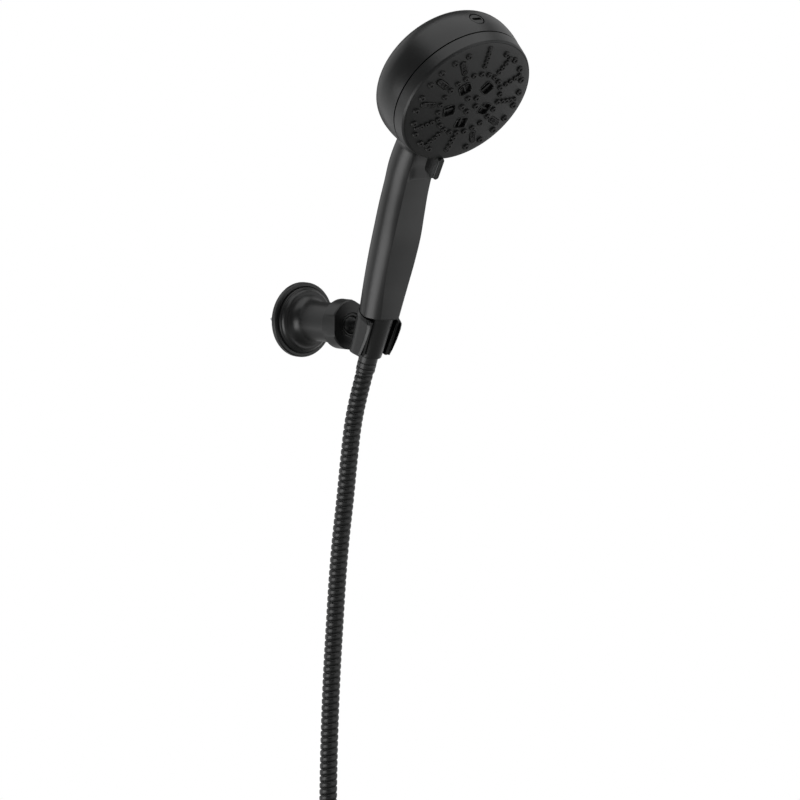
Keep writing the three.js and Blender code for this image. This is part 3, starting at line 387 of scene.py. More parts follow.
# coats and mouldings: the colour's property, roughness, size and depth of the grain, size and
# depth of the waviness, and how far the tone drifts
COATS = {
    # Satin black coat sprayed on ABS and zinc: even and dry, with a faint orange peel.
    "satin_black_coat": ("coat", 0.36, 0.30, 0.006, 2.4, 0.010, 0.05),
    # The same coat on the moulded ABS of the face and its selector, a little drier.
    "satin_black_face": ("face", 0.40, 0.30, 0.006, 2.0, 0.010, 0.05),
    # Acetal, moulded: waxy and darker than the coat, slightly uneven in gloss.
    "moulded_acetal": ("acetal", 0.36, 0.45, 0.010, 3.0, 0.030, 0.08),
    # Silicone rubber, moulded: deep black, soft and dry.
    "silicone_rubber": ("rubber", 0.52, 0.25, 0.012, 1.6, 0.020, 0.12),
    # Stainless strip wound into armour and coated black: tight, a little shinier on its crowns.
    "coated_steel_strip": ("strip", 0.36, 0.22, 0.012, 1.2, 0.030, 0.10),
    # Natural acetal, moulded: milky and smooth.
    "natural_acetal": ("natural", 0.45, 0.40, 0.010, 4.0, 0.030, 0.03),
    # Grey ABS, moulded: plain and dry.
    "grey_abs": ("grey", 0.55, 0.35, 0.020, 3.0, 0.020, 0.05),
}

# bare metals: the colour's property, roughness, and the spacing of the lines
METALS = {
    # Stainless steel, drawn and turned: fine lines and a sharp gloss.
    "stainless_steel": ("steel", 0.28, 0.15),
    # Turned brass: warm, with lathe lines.
    "turned_brass": ("brass", 0.30, 0.18),
}


def finish(kind):
    """A finish by name, made once from the colours in the scene's settings."""
    if kind in bpy.data.materials:
        return bpy.data.materials[kind]
    make, (colour, *rest) = (coated, COATS[kind]) if kind in COATS else (brushed, METALS[kind])
    return make(kind, getattr(bpy.context.scene.shower_colours, colour), *rest)


# ---- the handle and the head's shell, as distances ----

PANEL_TOP = 116
PANEL_BULGE = 0.6
SHELL_FRONT = RING_BACK - SEAM
SCOOP_DEEP = 6.8
FILLET = 6.5  # where the neck runs into the head
WALL = 2.6  # thickness of the moulded shells
PLUG_AT = -28  # the retaining plug's height in the head

# the head's shell, from its front edge round to the middle of its back
SHELL_KNOTS = np.array([
    (57.0, -14.8), (57.7, -19), (58.3, -24), (58.4, -29), (57.9, -35), (55.7, -41.6),
    (50.6, -47.6), (43.4, -51.7), (32.4, -54.6), (16, -57.2), (0, -58),
])


def shell_profile(count):
    """Even points along a smooth curve through the shell's knots, by their running length."""
    run = np.concatenate([[0], np.cumsum(np.linalg.norm(np.diff(SHELL_KNOTS, axis=0), axis=1))])
    at = np.linspace(0, run[-1], count)
    return np.stack([smooth(at, run, SHELL_KNOTS[:, k]) for k in (0, 1)], axis=-1)


def scoop(x, z):
    """How deep the thumb scoop lies behind the flat front: nothing below the panel's arched top
    edge, above it a depth that rises as a tanh of the height over that edge, and at its two sides
    a short wall back up to the front."""
    edge = PANEL_TOP - 3.4 * (np.abs(x) / 11.4) ** 3.5
    over = z - edge
    over = (over + np.sqrt(over ** 2 + 0.3)) / 2
    half = 11.2 + 1.4 * step_up(z, PANEL_TOP, PANEL_TOP + 26)
    return SCOOP_DEEP * np.tanh(0.075 * over) * (1 - step_up(np.abs(x), half - 2.6, half))


def handle_at(z):
    """The handle's section at heights: shift, radius, depth of the flat front in front of its
    middle, half width of the front at the creases, and the crease's own radius."""
    y, r, half = (smooth(z, HANDLE[:, 0], HANDLE[:, k]) for k in (1, 2, 3))
    flat = r * np.cos(np.radians(half))
    ridge = r * np.sin(np.radians(half))
    flat_at_ridge = flat - scoop(ridge, z)
    ease = 0.45 + 1.3 * step_up(z, PANEL_TOP - 4, PANEL_TOP + 16)
    return y, r, flat, flat_at_ridge, ease


def handle_outline(z, front=60, ease_steps=9, back=112, shrink=0.0):
    """The handle's outlines at heights z, as points and outward directions. Each is a front of
    width 2a at y = -(flat + bulge - scoop), two small arcs that touch it and the round, and the
    round's arc, all moved by the section's shift."""
    y, r, flat, ridge_flat, ease = (v[:, None] for v in handle_at(z))
    r = r - shrink
    flat = flat - shrink
    ridge_flat = ridge_flat - shrink
    turn = np.arccos(np.clip((ridge_flat - ease) / (r - ease), -0.999, 0.999))
    middle = (r - ease) * np.sin(turn)
    share = np.linspace(-1, 1, front + 1)[None, 1:-1]
    x = middle * share
    tall = z[:, None]
    ends = scoop(middle, tall)
    lift = (flat - ridge_flat) - ends
    depth = flat + PANEL_BULGE * (1 - share ** 2) - scoop(x, tall) - lift * share ** 2
    flat_part = np.stack([x, -depth], axis=-1)
    out_front = np.stack([np.zeros_like(x), -np.ones_like(x)], axis=-1)

    def arc(centre_x, centre_y, radius, a):
        way = np.stack([np.cos(a), np.sin(a)], axis=-1)
        centre = np.stack(np.broadcast_arrays(centre_x, centre_y), axis=-1)
        return centre + radius[..., None] * way, way

    t = np.linspace(0, 1, ease_steps)[None]
    down = -TAU / 4
    right, out_right = arc(middle, ease - ridge_flat, ease, down + turn * t)
    u = np.linspace(0, 1, back + 2)[None, 1:-1]
    nothing = np.zeros_like(r)
    round_part, out_round = arc(nothing, nothing, r, down + turn + (TAU - 2 * turn) * u)
    left, out_left = arc(-middle, ease - ridge_flat, ease, down - turn * (1 - t))
    points = np.concatenate([flat_part, right, round_part, left], axis=1)
    out = np.concatenate([out_front, out_right, out_round, out_left], axis=1)
    heights = np.broadcast_to(tall, points.shape[:2])
    grid = np.stack([points[..., 0], points[..., 1] + y, heights], axis=-1)
    return grid, np.concatenate([out, np.zeros_like(out[..., :1])], axis=-1)


def handle_distance(points):
    """Distance outside the handle, by its section at each point's height: the greater of the
    distances to the round and to the front, with the crease rounded."""
    shape = points.shape[:-1]
    p = points.reshape(-1, 3)
    y, r, flat, ridge_flat, ease = handle_at(p[:, 2])
    from_round = np.hypot(p[:, 0], p[:, 1] - y) - r
    from_front = -(p[:, 1] - y) - (flat - scoop(p[:, 0], p[:, 2]))
    a = from_round + ease
    b = from_front + ease
    outside = np.hypot(np.maximum(a, 0), np.maximum(b, 0))
    return (outside + np.minimum(np.maximum(a, b), 0) - ease).reshape(shape)


def shell_distance(points):
    """Distance outside the head's shell, a turned solid: to the nearest point of the segments of
    its outline, and less than nothing inside it."""
    p = points.reshape(-1, 3)
    flat = np.stack([np.hypot(p[:, 0], p[:, 1]), p[:, 2]], axis=-1)
    line = np.concatenate([[(0, SHELL_FRONT)], shell_profile(70)])
    start, along = line[:-1], np.diff(line, axis=0)
    from_start = flat[:, None] - start[None]
    t = np.clip((from_start * along).sum(-1) / (along ** 2).sum(-1), 0, 1)
    nearest = np.linalg.norm(from_start - t[..., None] * along, axis=-1).min(axis=1)
    edge = np.interp(-flat[:, 1], -line[1:, 1], line[1:, 0], left=-1, right=-1)
    inside = flat[:, 0] < edge
    return np.where(inside, -nearest, nearest).reshape(points.shape[:-1])


def joined_distance(from_head, from_handle):
    """Both solids as one, with a round fillet where their surfaces meet."""
    a = np.maximum(FILLET - from_head, 0)
    b = np.maximum(FILLET - from_handle, 0)
    return np.maximum(FILLET, np.minimum(from_head, from_handle)) - np.hypot(a, b)


def grown(points, out, furthest, of_head):
    """Points, in the head's frame, moved along their outward directions onto the joined surface,
    found by halving. Past the middle of the fillet they sink under the other solid's skin, by the
    square of how much nearer they are to it."""
    def distances(p):
        return shell_distance(p), handle_distance(moved(p, HEAD_IN_HANDSET))

    low = np.zeros(len(points))
    high = np.full(len(points), furthest)
    for _ in range(16):
        middle = (low + high) / 2
        within = joined_distance(*distances(points + out * middle[:, None])) < 0
        low = np.where(within, middle, low)
        high = np.where(within, high, middle)
    from_head, from_handle = distances(points + out * low[:, None])
    past = (from_head - from_handle) if of_head else (from_handle - from_head)
    return points + out * (low - 0.03 * np.maximum(past, 0) ** 2)[:, None]


# ---- pieces of the handset ----

def shell_grid():
    """The head's shell: its outline turned round the axis, more closely near the neck and plug,
    grown onto the fillet at the neck, and closed inside by the same outline a wall inwards."""
    fine = np.arange(-128, -52, 0.9)
    rest = np.arange(-52, 232, 2.4)
    angle = np.radians(np.concatenate([fine, rest]))
    outline = shell_profile(110)
    along = np.gradient(outline, axis=0)
    out = np.stack([-along[:, 1], along[:, 0]], axis=-1)
    out /= np.linalg.norm(out, axis=1)[:, None]

    def carried(flat):
        return np.stack([flat[:, :1] * np.cos(angle), flat[:, :1] * np.sin(angle),
                         np.repeat(flat[:, 1:], len(angle), axis=1)], axis=-1)

    outer, ways = carried(outline), carried(out)
    near = handle_distance(moved(outer, HEAD_IN_HANDSET)) < FILLET + 3
    near &= (outer[..., 1] < -20)
    outer[near] = grown(outer[near], ways[near], 9.0, True)
    outer[..., 2] = np.minimum(outer[..., 2], SHELL_FRONT)
    front_r = outline[0, 0]
    wall = outline - out * WALL
    wall[0] = (front_r - WALL, SHELL_FRONT)
    wall[:, 0] = np.maximum(wall[:, 0], 0)
    wall[-1, 0] = 0
    lip = carried(np.array([(front_r - WALL, SHELL_FRONT), (front_r - 0.35, SHELL_FRONT)]))
    return np.concatenate([carried(wall)[::-1], lip[1:], outer])


def handle_grid():
    """The handle: outlines up its axis, its lower rim slanted and rounded, its top grown onto the
    fillet, and its inside closed by smaller outlines with a round socket at the bottom."""
    heights = np.unique(np.concatenate([
        np.arange(-0.2, 4, 0.7), np.arange(4, 108, 2.2), np.arange(108, 120, 0.4),
        np.arange(120, 152, 0.8)]))
    outer, ways = handle_outline(heights)
    high = heights > 122
    in_head_frame = unmoved(outer[high], HEAD_IN_HANDSET)
    turned_ways = ways[high] @ HEAD_IN_HANDSET[0]
    flat = in_head_frame.reshape(-1, 3)
    lifted = grown(flat, turned_ways.reshape(-1, 3), 15.0, False).reshape(in_head_frame.shape)
    under = np.hypot(lifted[..., 0], lifted[..., 1]) < 59
    lifted[..., 2] = np.where(under, np.minimum(lifted[..., 2], SHELL_FRONT), lifted[..., 2])
    outer[high] = moved(lifted, HEAD_IN_HANDSET)

    rim = outer[:1]
    centre = np.array([0, 0, -0.9])
    quarter = np.radians(np.linspace(90, 0, 6))[1:-1]
    turn_in = [rim * [1 - 0.047 * (1 - math.cos(a)), 1 - 0.047 * (1 - math.cos(a)), 0]
               + [0, 0, 0.7 * (1 - math.sin(a)) - 0.9] for a in quarter]
    around = np.arctan2(rim[0, :, 1], rim[0, :, 0])

    def circle(radius, z):
        return np.stack([radius * np.cos(around), radius * np.sin(around),
                         np.full_like(around, z)], axis=-1)[None]

    floor = rim * [0.953, 0.953, 0] + centre
    socket = [circle(12.6, -0.9), circle(12.3, -0.6), circle(12.3, 2.2), circle(9.2, 2.2),
              circle(9.2, 5.5)]
    inner, _ = handle_outline(np.linspace(5.5, 150, 24), shrink=WALL)
    rows = [inner[::-1], *socket[::-1], floor, *turn_in, outer]
    grid = np.concatenate(rows)
    low = step_up(-grid[..., 2], -13, 0)
    grid[..., 2] += -0.155 * grid[..., 1] * low
    return np.concatenate([grid, grid[:1]])


def cut(made, cutter):
    """Takes one closed mesh out of another, for good."""
    bpy.context.view_layer.update()
    saw = made.modifiers.new("cut", "BOOLEAN")
    saw.operation = "DIFFERENCE"
    saw.solver = "EXACT"
    saw.object = cutter
    shape = bpy.data.meshes.new_from_object(
        made.evaluated_get(bpy.context.evaluated_depsgraph_get()))
    made.modifiers.clear()
    made.data = shape
    bpy.data.objects.remove(cutter)
    shade(shape)
    return made


def merged(name, first, second):
    """One object from two meshes that stand in each other's walls."""
    work = bmesh.new()
    work.from_mesh(first.data)
    work.from_mesh(second.data)
    mesh = bpy.data.meshes.new(name)
    work.to_mesh(mesh)
    work.free()
    mesh.set_sharp_from_angle(angle=math.radians(CREASE))
    for old in (first, second):
        bpy.data.objects.remove(old)
    return linked(name, mesh)


def on_side(grid, depth):
    """A shape standing on +Z, laid so that it points up the face (+Y) at a depth behind it."""
    return np.stack([grid[..., 0], grid[..., 2], depth - grid[..., 1]], axis=-1)


def face_height(r):
    return FACE_APEX - r ** 2 / (2 * FACE_SPHERE_R)


def at_angle(grid, distance, degrees):
    """A shape moved up the face by a distance and turned clockwise round it."""
    a = math.radians(degrees)
    x = grid[..., 0]
    y = grid[..., 1] + distance
    return np.stack([x * math.cos(a) + y * math.sin(a), y * math.cos(a) - x * math.sin(a),
                     grid[..., 2]], axis=-1)


# nozzles close together in a row: angle, first and last distance, how many
CHAINS = [
    (0, 34.5, 49.6, 5), (30, 32.6, 45.4, 4), (60, 32.6, 45.4, 4), (90, 32.0, 44.4, 4),
    (180, 32.6, 45.0, 4), (210, 32.6, 45.4, 4), (240, 32.6, 45.4, 4),
]
PADS = (120, 150, 270, 300, 330)  # angles of the pads with three small nozzles each
PAD_AT = 38.4
INSERT_AT = 17.6


def nub(radius, rise, sides=16):
    """One nozzle: a short cone with a rounded top edge and a dished hole in its tip."""
    outline = rounded([
        (radius + 0.12, -3.4, 0), (radius + 0.12, 0, 0), (radius - 0.22, rise, 0.5),
        (radius * 0.38, rise, 0.12), (radius * 0.32, rise - 1.0, 0.2), (0, rise - 1.0, 0)], steps=4)
    return turned(np.concatenate([[(0, -3.4)], outline]), sides)


def nozzle_grids():
    """Every nozzle and raised pad on the face, by its distance and angle round it."""
    made = []

    def nozzle(radius, rise, distance, degrees):
        grid = nub(radius, rise)
        grid[..., 2] += face_height(distance)
        made.append(at_angle(grid, distance, degrees))

    for k in range(24):
        nozzle(2.3, 1.6, 27.4, 15 * k)
    for k in range(24):
        if k not in (0, 23, 11, 12):
            nozzle(2.6, 1.6, 47.0, 15 * k + 7.5)
    for k in range(5):
        nozzle(2.5, 1.6, 6.9, 72 * k + 36)
    for degrees, first, last, count in CHAINS:
        for distance in np.linspace(first, last, count):
            nozzle(2.15, 1.5, distance, degrees)
        middle = (first + last) / 2
        bar = capped(block(2.6, last - first + 2, 1.25, [
            (0, -3), (0, 0.25), (0.12, 0.45), (0.5, 0.55)]))
        bar[..., 2] += face_height(middle)
        made.append(at_angle(bar, middle, degrees))
    for degrees in PADS:
        pad = capped(block(5.0, 13.2, 2.4, [
            (0, -3), (0, 0.35), (0.15, 0.7), (0.5, 0.85), (0.95, 0.8), (1.15, 0.45), (1.5, 0.4)]))
        pad[..., 2] += face_height(PAD_AT)
        made.append(at_angle(pad, PAD_AT, degrees))
        for distance in (34.6, 38.4, 42.2):
            nozzle(1.25, 1.05, distance, degrees)
    return made


def tab_grid():
    """The selector's thumb tab: its side outline, which stands in the plane x = 0, carried across
    its thickness, with each step across drawing the outline in to round the edges."""
    side = rounded([
        (-54.9, -4.6, 0), (-56.6, -1.2, 1.4), (-69.8, 0.3, 2.0), (-72.0, -1.8, 1.6),
        (-71.8, -11.4, 1.2), (-70.3, -12.9, 1.0), (-63.4, -13.9, 0.8), (-54.9, -13.9, 0)], steps=7)
    middle = np.array([-63.5, -7.0])
    rows = []
    across = [(-2.2, 0.93), (-2.1, 0.975), (-1.85, 1.0), (1.85, 1.0), (2.1, 0.975), (2.2, 0.93)]
    for x, share in across:
        flat = middle + (side - middle) * share
        flat[:, 0] = np.where(side[:, 0] > -56, side[:, 0], flat[:, 0])
        rows.append(np.stack([np.full(len(flat), x), flat[:, 0], flat[:, 1]], axis=-1))
    return capped(np.stack(rows))


def tab_front_grid():
    """The tab's front bar: a pill that lies along the tab's front edge, raised and rounded."""
    bar = capped(block(4.9, 18.2, 2.4, [
        (0.5, -1.6), (0.1, -1.3), (0, -0.9), (0, 0.1), (0.12, 0.5), (0.5, 0.8), (1.0, 0.85),
        (1.25, 0.55), (1.7, 0.5)]))
    y = bar[..., 1] - 62.6
    lean = 0.10
    return np.stack([bar[..., 0], y, bar[..., 2] - 0.9 - lean * (y + 62.6)], axis=-1)


# ---- the hose ----

PIVOT_AT = -49.05  # where the hose swings, on the handset's axis
HOSE_START = -43.2  # where the hose begins, on the handset's axis

# one rib of the armour: share of the pitch, and depth below the crown in millimetres
RIB = [(0, 1.0), (0.05, 0.62), (0.12, 0.20), (0.30, 0.0), (0.55, 0.02), (0.76, 0.16),
       (0.88, 0.40), (0.95, 0.85)]


def hose_path():
    """The hose's middle line, 0.5 mm apart: the last of the handset's axis, a smooth curve down
    its way, two turns round a level axis that step outwards, and a straight tail. A running mean
    takes the corners off where they join."""
    down = in_handset(np.array([(0, 0, HOSE_START), (0, 0, -46.0)]))
    way = np.array([(0, -out, up) for out, up in HOSE_WAY])
    run = np.concatenate([[0], np.cumsum(np.linalg.norm(np.diff(way, axis=0), axis=1))])
    at = np.linspace(0, run[-1], 400)
    way = np.stack([smooth(at, run, way[:, k]) for k in range(3)], axis=-1)
    t = np.linspace(0, 1, 1200)
    a = t * COIL_TURNS * TAU
    coil = np.stack([COIL_R * (1 - np.cos(a)), -COIL_OUT - COIL_TURNS * COIL_PITCH * t,
                     COIL_MIDDLE_Z - COIL_R * np.sin(a)], axis=-1)
    tail = np.array([(0, -TAIL_OUT, COIL_MIDDLE_Z - 1), (0, -TAIL_OUT, TAIL_END)])
    line, _ = evenly(np.concatenate([down, way, coil, tail]), 0.5)
    wide = 41
    padded = np.concatenate([
        line[:1] - (line[1] - line[0]) * np.arange(wide // 2, 0, -1)[:, None], line,
        line[-1:] + (line[-1] - line[-2]) * np.arange(1, wide // 2 + 1)[:, None]])
    mean = np.stack([np.convolve(padded[:, k], np.ones(wide) / wide, "valid") for k in range(3)],
                    axis=-1)
    return evenly(mean, 0.5)


def hose_mesh(name, pitch, groove):
    """The armoured hose. Its grid winds round it: point i of row j stands at the length
    (rib + share + i / columns) x pitch, so that a groove follows the grid's own line, and the last
    column joins the first one a rib further on. The radius is the crown's less the rib's depth.
    The last ribs are drawn together at the hose's end, which closes it square."""
    path, length = hose_path()
    tangent, side, other = directions(path, np.array([1.0, 0, 0]))
    columns = 26
    ribs = int(length / pitch) + 2
    share = np.array([r[0] for r in RIB])
    deep = np.array([r[1] for r in RIB])
    row_at = (np.arange(ribs)[:, None] + share[None]).ravel()
    row_deep = np.tile(deep, ribs)
    i = np.arange(columns)
    s = (row_at[:, None] + i[None] / columns) * pitch
    into = np.clip(s, 0, length)
    along = np.linspace(0, length, len(path))

    def at(values):
        return np.stack([np.interp(into, along, values[:, k]) for k in range(3)], axis=-1)

    ends = np.minimum(into, length - into)
    radius = HOSE_R - groove * row_deep[:, None] * step_up(ends, 2.0, 5.0)
    knuckle = np.maximum(HOSE_START - PIVOT_AT - into, 0)
    radius = np.minimum(radius, np.sqrt(HOSE_R ** 2 - knuckle ** 2))
    a = (TAU * i / columns)[None]
    points = at(path) + radius[..., None] * (
        at(side) * np.cos(a)[..., None] + at(other) * np.sin(a)[..., None])
    rows = len(row_at)
    number = np.arange(rows * columns).reshape(rows, columns)
    step = len(RIB)
    body = np.stack([number[:-1, :-1], number[:-1, 1:], number[1:, 1:], number[1:, :-1]], axis=-1)
    seam = np.stack([number[:-1 - step, -1], number[step:-1, 0], number[step + 1:, 0],
                     number[1:-step, -1]], axis=-1)
    quads = np.concatenate([body.reshape(-1, 4), seam])
    mesh = mesh_from(name, points.reshape(-1, 3), quads)
    work = bmesh.new()
    work.from_mesh(mesh)
    bmesh.ops.remove_doubles(work, verts=work.verts, dist=1e-6)
    bmesh.ops.holes_fill(work, edges=[e for e in work.edges if e.is_boundary], sides=0)
    bmesh.ops.triangulate(work, faces=[f for f in work.faces if len(f.verts) > 4])
    bmesh.ops.recalc_face_normals(work, faces=work.faces)
    work.to_mesh(mesh)
    work.free()
    mesh.polygons.foreach_set("use_smooth", np.ones(len(mesh.polygons), bool))
    return linked(name, mesh), path, length


def socket_outline():
    """The handset's crimped sleeve: two rolled grooves, and a round socket below for the hose's
    first knuckle, whose radius at a depth is the circle's about the hose's pivot."""
    depth = np.linspace(-44.6, -46.4, 6)
    socket = np.sqrt(6.85 ** 2 - (depth - PIVOT_AT) ** 2)
    line = rounded([
        (6.5, -46.4, 0), (7.1, -46.2, 0.3), (7.25, -44.6, 0.5), (7.1, -43.4, 0.3),
        (6.5, -43.1, 0.15), (7.1, -42.8, 0.3), (7.25, -41, 0.5), (7.1, -39.1, 0.3),
        (6.55, -38.8, 0.15), (7.1, -38.5, 0.3), (7.2, -37.6, 0.3), (7.2, -33.4, 0.4),
        (5.3, -33.4, 0.2), (5.3, -44.6, 0)], steps=4)
    return np.concatenate([line, np.stack([socket, depth], axis=-1), line[:1]])


def ferrule_outline(radius, bottom, top, bore):
    """A crimped sleeve: a straight wall with a shallow pressed groove near its top."""
    tall = top - bottom
    return rounded([
        (bore, bottom, 0.2), (radius, bottom, 0.7), (radius, bottom + tall * 0.62, 0.4),
        (radius - 0.35, bottom + tall * 0.68, 0.4), (radius - 0.35, bottom + tall * 0.74, 0.4),
        (radius, bottom + tall * 0.80, 0.4), (radius, top, 0.6), (bore, top, 0.2)], closed=True)


def loop_of(outline):
    """A closed outline with its first point again at its end."""
    return np.concatenate([outline, outline[:1]])


def hexagon_grid(flats, bottom, top, bore, bore_from, neck):
    """A hexagonal nut: radius at an angle is half the flats over the cosine of the angle from the
    flat's middle, and no more than a cone that chamfers both ends; open below, necked above."""
    sides = 120
    a = np.linspace(0, TAU, sides, endpoint=False)
    from_flat = (a % (TAU / 6)) - TAU / 12
    hexagon = flats / 2 / np.cos(from_flat)
    heights = np.concatenate([[0, 0.15, 0.5, 1.0, 1.7], np.linspace(2.6, top - bottom - 2.6, 4),
                              top - bottom - np.array([1.7, 1.0, 0.5, 0.15, 0])])
    from_end = np.minimum(heights, heights[::-1])
    cone = flats / 2 + 0.35 + 1.7 * from_end - 0.5 * (from_end < 0.1)
    r = np.minimum(hexagon[None], cone[:, None])
    outer = np.stack([r * np.cos(a), r * np.sin(a),
                      np.repeat((bottom + heights)[:, None], sides, axis=1)], axis=-1)
    inside = turned([(neck, top), (neck, bore_from), (bore, bore_from), (bore, bottom + 0.8),
                     (bore + 0.7, bottom)], sides)
    return np.concatenate([outer, inside, outer[:1]])


def strap_grid(centres, radius, wide, thick):
    """A flat band round two turns of hose: the outline of two half circles joined by straight
    sides, carried across the band with its edges rounded."""
    half = np.radians(np.linspace(-90, 90, 14))
    near, far = centres
    outline = np.concatenate([
        np.stack([near + radius * np.cos(half), radius * np.sin(half)], axis=-1),
        np.stack([far - radius * np.cos(half), -radius * np.sin(half)], axis=-1)])
    ways = np.concatenate([
        np.stack([np.cos(half), np.sin(half)], axis=-1),
        np.stack([-np.cos(half), -np.sin(half)], axis=-1)])
    section = rounded([(-wide / 2, 0, 0.3), (wide / 2, 0, 0.3), (wide / 2, thick, 0.5),
                       (-wide / 2, thick, 0.5)], closed=True, steps=4)
    rows = []
    for across, up in loop_of(section):
        flat = outline + ways * up
        rows.append(np.stack([np.full(len(flat), across), flat[:, 0], flat[:, 1]], axis=-1))
    return np.stack(rows)


def flatted(grid, flat, above):
    """A turned grid with three flats above a height: the radius of its outer wall is no more than
    the flat's distance over the cosine of the angle from the flat's middle."""
    a = np.linspace(0, TAU, grid.shape[1], endpoint=False)
    r = np.hypot(grid[..., 0], grid[..., 1])
    limit = np.full(len(a), 99.0)
    for middle in np.radians([60, 180, 300]):
        from_flat = (a - middle + math.pi) % TAU - math.pi
        near = np.abs(from_flat) < math.pi / 3
        limit = np.where(near, flat / np.cos(np.where(near, from_flat, 0)), limit)
    outer = (r > 15.5) & (grid[..., 2] > above)
    grid[..., :2] *= (np.where(outer, np.minimum(r, limit[None]), r) / r)[..., None]
    return grid


# ---- cradle ----

CLIP_TOP = -1.2
CLIP_BOTTOM = -31.2


def nut_radius(z):
    return NUT_BOTTOM_R + (NUT_TOP_R - NUT_BOTTOM_R) * (z - NUT_BOTTOM) / (NUT_TOP - NUT_BOTTOM)


# an arm's end, from its middle out: share of the wall's thickness, and length in millimetres
CLIP_END = [(0, 0.6), (0.84, 0.6), (0.95, 0.48), (0.99, 0.25)]
COVER_END = [(0, 0.6), (0.35, 0.6), (0.45, 0.55), (0.95, -1.1), (0.99, -1.4)]


def fork_grid(section, reach_at, end):
    """A fork open to the front: a closed section of (radius, height) carried back along one arm,
    round the half circle behind the nut, and forward along the other arm. An arm's length
    follows a height, and its end is flat, with the bevels that `end` draws."""
    section = loop_of(section)
    r, z = section[:, 0], section[:, 1]
    middle = np.array([(r.min() + r.max()) / 2, (z.min() + z.max()) / 2])
    angles = np.radians(np.linspace(0, 180, 49))
    arms = np.linspace(-1, 0, 8)[3:-1]
    rows = []

    def station(x_way, y_way, y_share, share, out):
        radius = middle[0] + (r - middle[0]) * share
        reach = reach_at(z)
        rows.append(np.stack([radius * x_way, radius * y_way + reach * y_share - out, z], axis=-1))

    for share, out in end:
        station(1, 0, -1, share, out)
    station(1, 0, -1, 1, end[-1][1] - 0.5)
    for y in arms:
        station(1, 0, y, 1, 0)
    for a in angles:
        station(math.cos(a), math.sin(a), 0, 1, 0)
    for y in arms[::-1]:
        station(-1, 0, y, 1, 0)
    station(-1, 0, -1, 1, end[-1][1] - 0.5)
    for share, out in end[::-1]:
        station(-1, 0, -1, share, out)
    return np.stack(rows)


def clip_section():
    """The clip's wall: its inner side lies 0.35 mm off the cone nut, its outer side 3 mm."""
    inner, outer = 0.35, 3.0
    return rounded([
        (nut_radius(CLIP_BOTTOM) + inner, CLIP_BOTTOM, 0.4),
        (nut_radius(CLIP_BOTTOM) + outer, CLIP_BOTTOM, 0.6),
        (nut_radius(CLIP_TOP) + outer, CLIP_TOP, 0.7),
        (nut_radius(CLIP_TOP) + inner, CLIP_TOP, 0.5)], closed=True)


def arm_reach(z):
    """How far the arms reach: a line that leans back towards the bottom, slightly bowed, with the
    top corner drawn back along a quarter circle."""
    share = np.clip((z - CLIP_BOTTOM) / (CLIP_TOP - CLIP_BOTTOM), 0, 1)
    corner = np.clip((z - CLIP_TOP + 4.6) / 4.6, 0, 1)
    return 5.6 + 4.9 * share + 4.4 * share * (1 - share) - 4.6 * (1 - np.sqrt(1 - corner ** 2))


def cover_grid():
    """The cradle's cover, a fork round the clip whose top and bottom slope from back to front:
    the height of a point moves with how far forward it lies."""
    top_in = nut_radius(CLIP_TOP) + 3.1
    low_in = nut_radius(CLIP_BOTTOM) + 3.1
    section = rounded([
        (low_in, -32.5, 0.4), (15.3, -32.5, 0.7), (15.5, -26, 0), (15.8, -17, 0), (16.1, -8, 0),
        (16.35, -3.2, 0.2), (15.9, -0.7, 0.3), (15.55, -0.6, 0.2), (15.5, -1.2, 0.1),
        (top_in, -1.3, 0.2)],
        closed=True, steps=5)
    grid = fork_grid(section, arm_reach, COVER_END)
    forward = step_up(-grid[..., 1], -16, 7.4)
    high = step_up(grid[..., 2], -8, -2)
    low = step_up(-grid[..., 2], 26, 32)
    grid[..., 2] += high * (2.2 - 2.8 * forward) + low * (-1.1 + 2.2 * forward)
    return grid


# ---- settings ----

class ShowerSizes(bpy.types.PropertyGroup):
    rib_pitch: FloatProperty(
        name="Rib pitch", description="Length of one rib of the hose's armour",
        default=4.9 * MM, min=3 * MM, max=9 * MM, unit="LENGTH")
    groove: FloatProperty(
        name="Groove", description="Depth of the groove between two ribs",
        default=1.0 * MM, min=0, max=2 * MM, unit="LENGTH")
    sides: IntProperty(
        name="Sides", description="Sides of a large turned piece", default=144, min=48, max=288)
    light: FloatProperty(
        name="Light", description="Strength of the lamps, as a share", default=1.0, min=0, max=4)


def colour(name, description, code):
    """A colour property whose default is an sRGB hex value, turned to linear."""
    return FloatVectorProperty(name=name, description=description, subtype="COLOR", size=4,
                               min=0, max=1, default=linear(code))


class ShowerColours(bpy.types.PropertyGroup):
    coat: colour("Coat", "Satin black coat on the handle, head and bracket", "#141515")
    face: colour("Face", "Moulded spray face and its selector", "#151616")
    acetal: colour("Acetal", "Moulded nut and clip", "#0e0f0f")
    rubber: colour("Rubber", "Silicone nozzles, seals and strap", "#0a0a0a")
    strip: colour("Strip", "Coated steel armour of the hose", "#101111")
    natural: colour("Natural plastic", "Valve, seat and tube inside", "#d6d6d0")
    grey: colour("Grey plastic", "Plates inside the head", "#4a4c4e")
    steel: colour("Steel", "Screws and springs", "#b9bcc0")
    brass: colour("Brass", "Inlet and hose inserts", "#b5924f")


# ---- operators ----

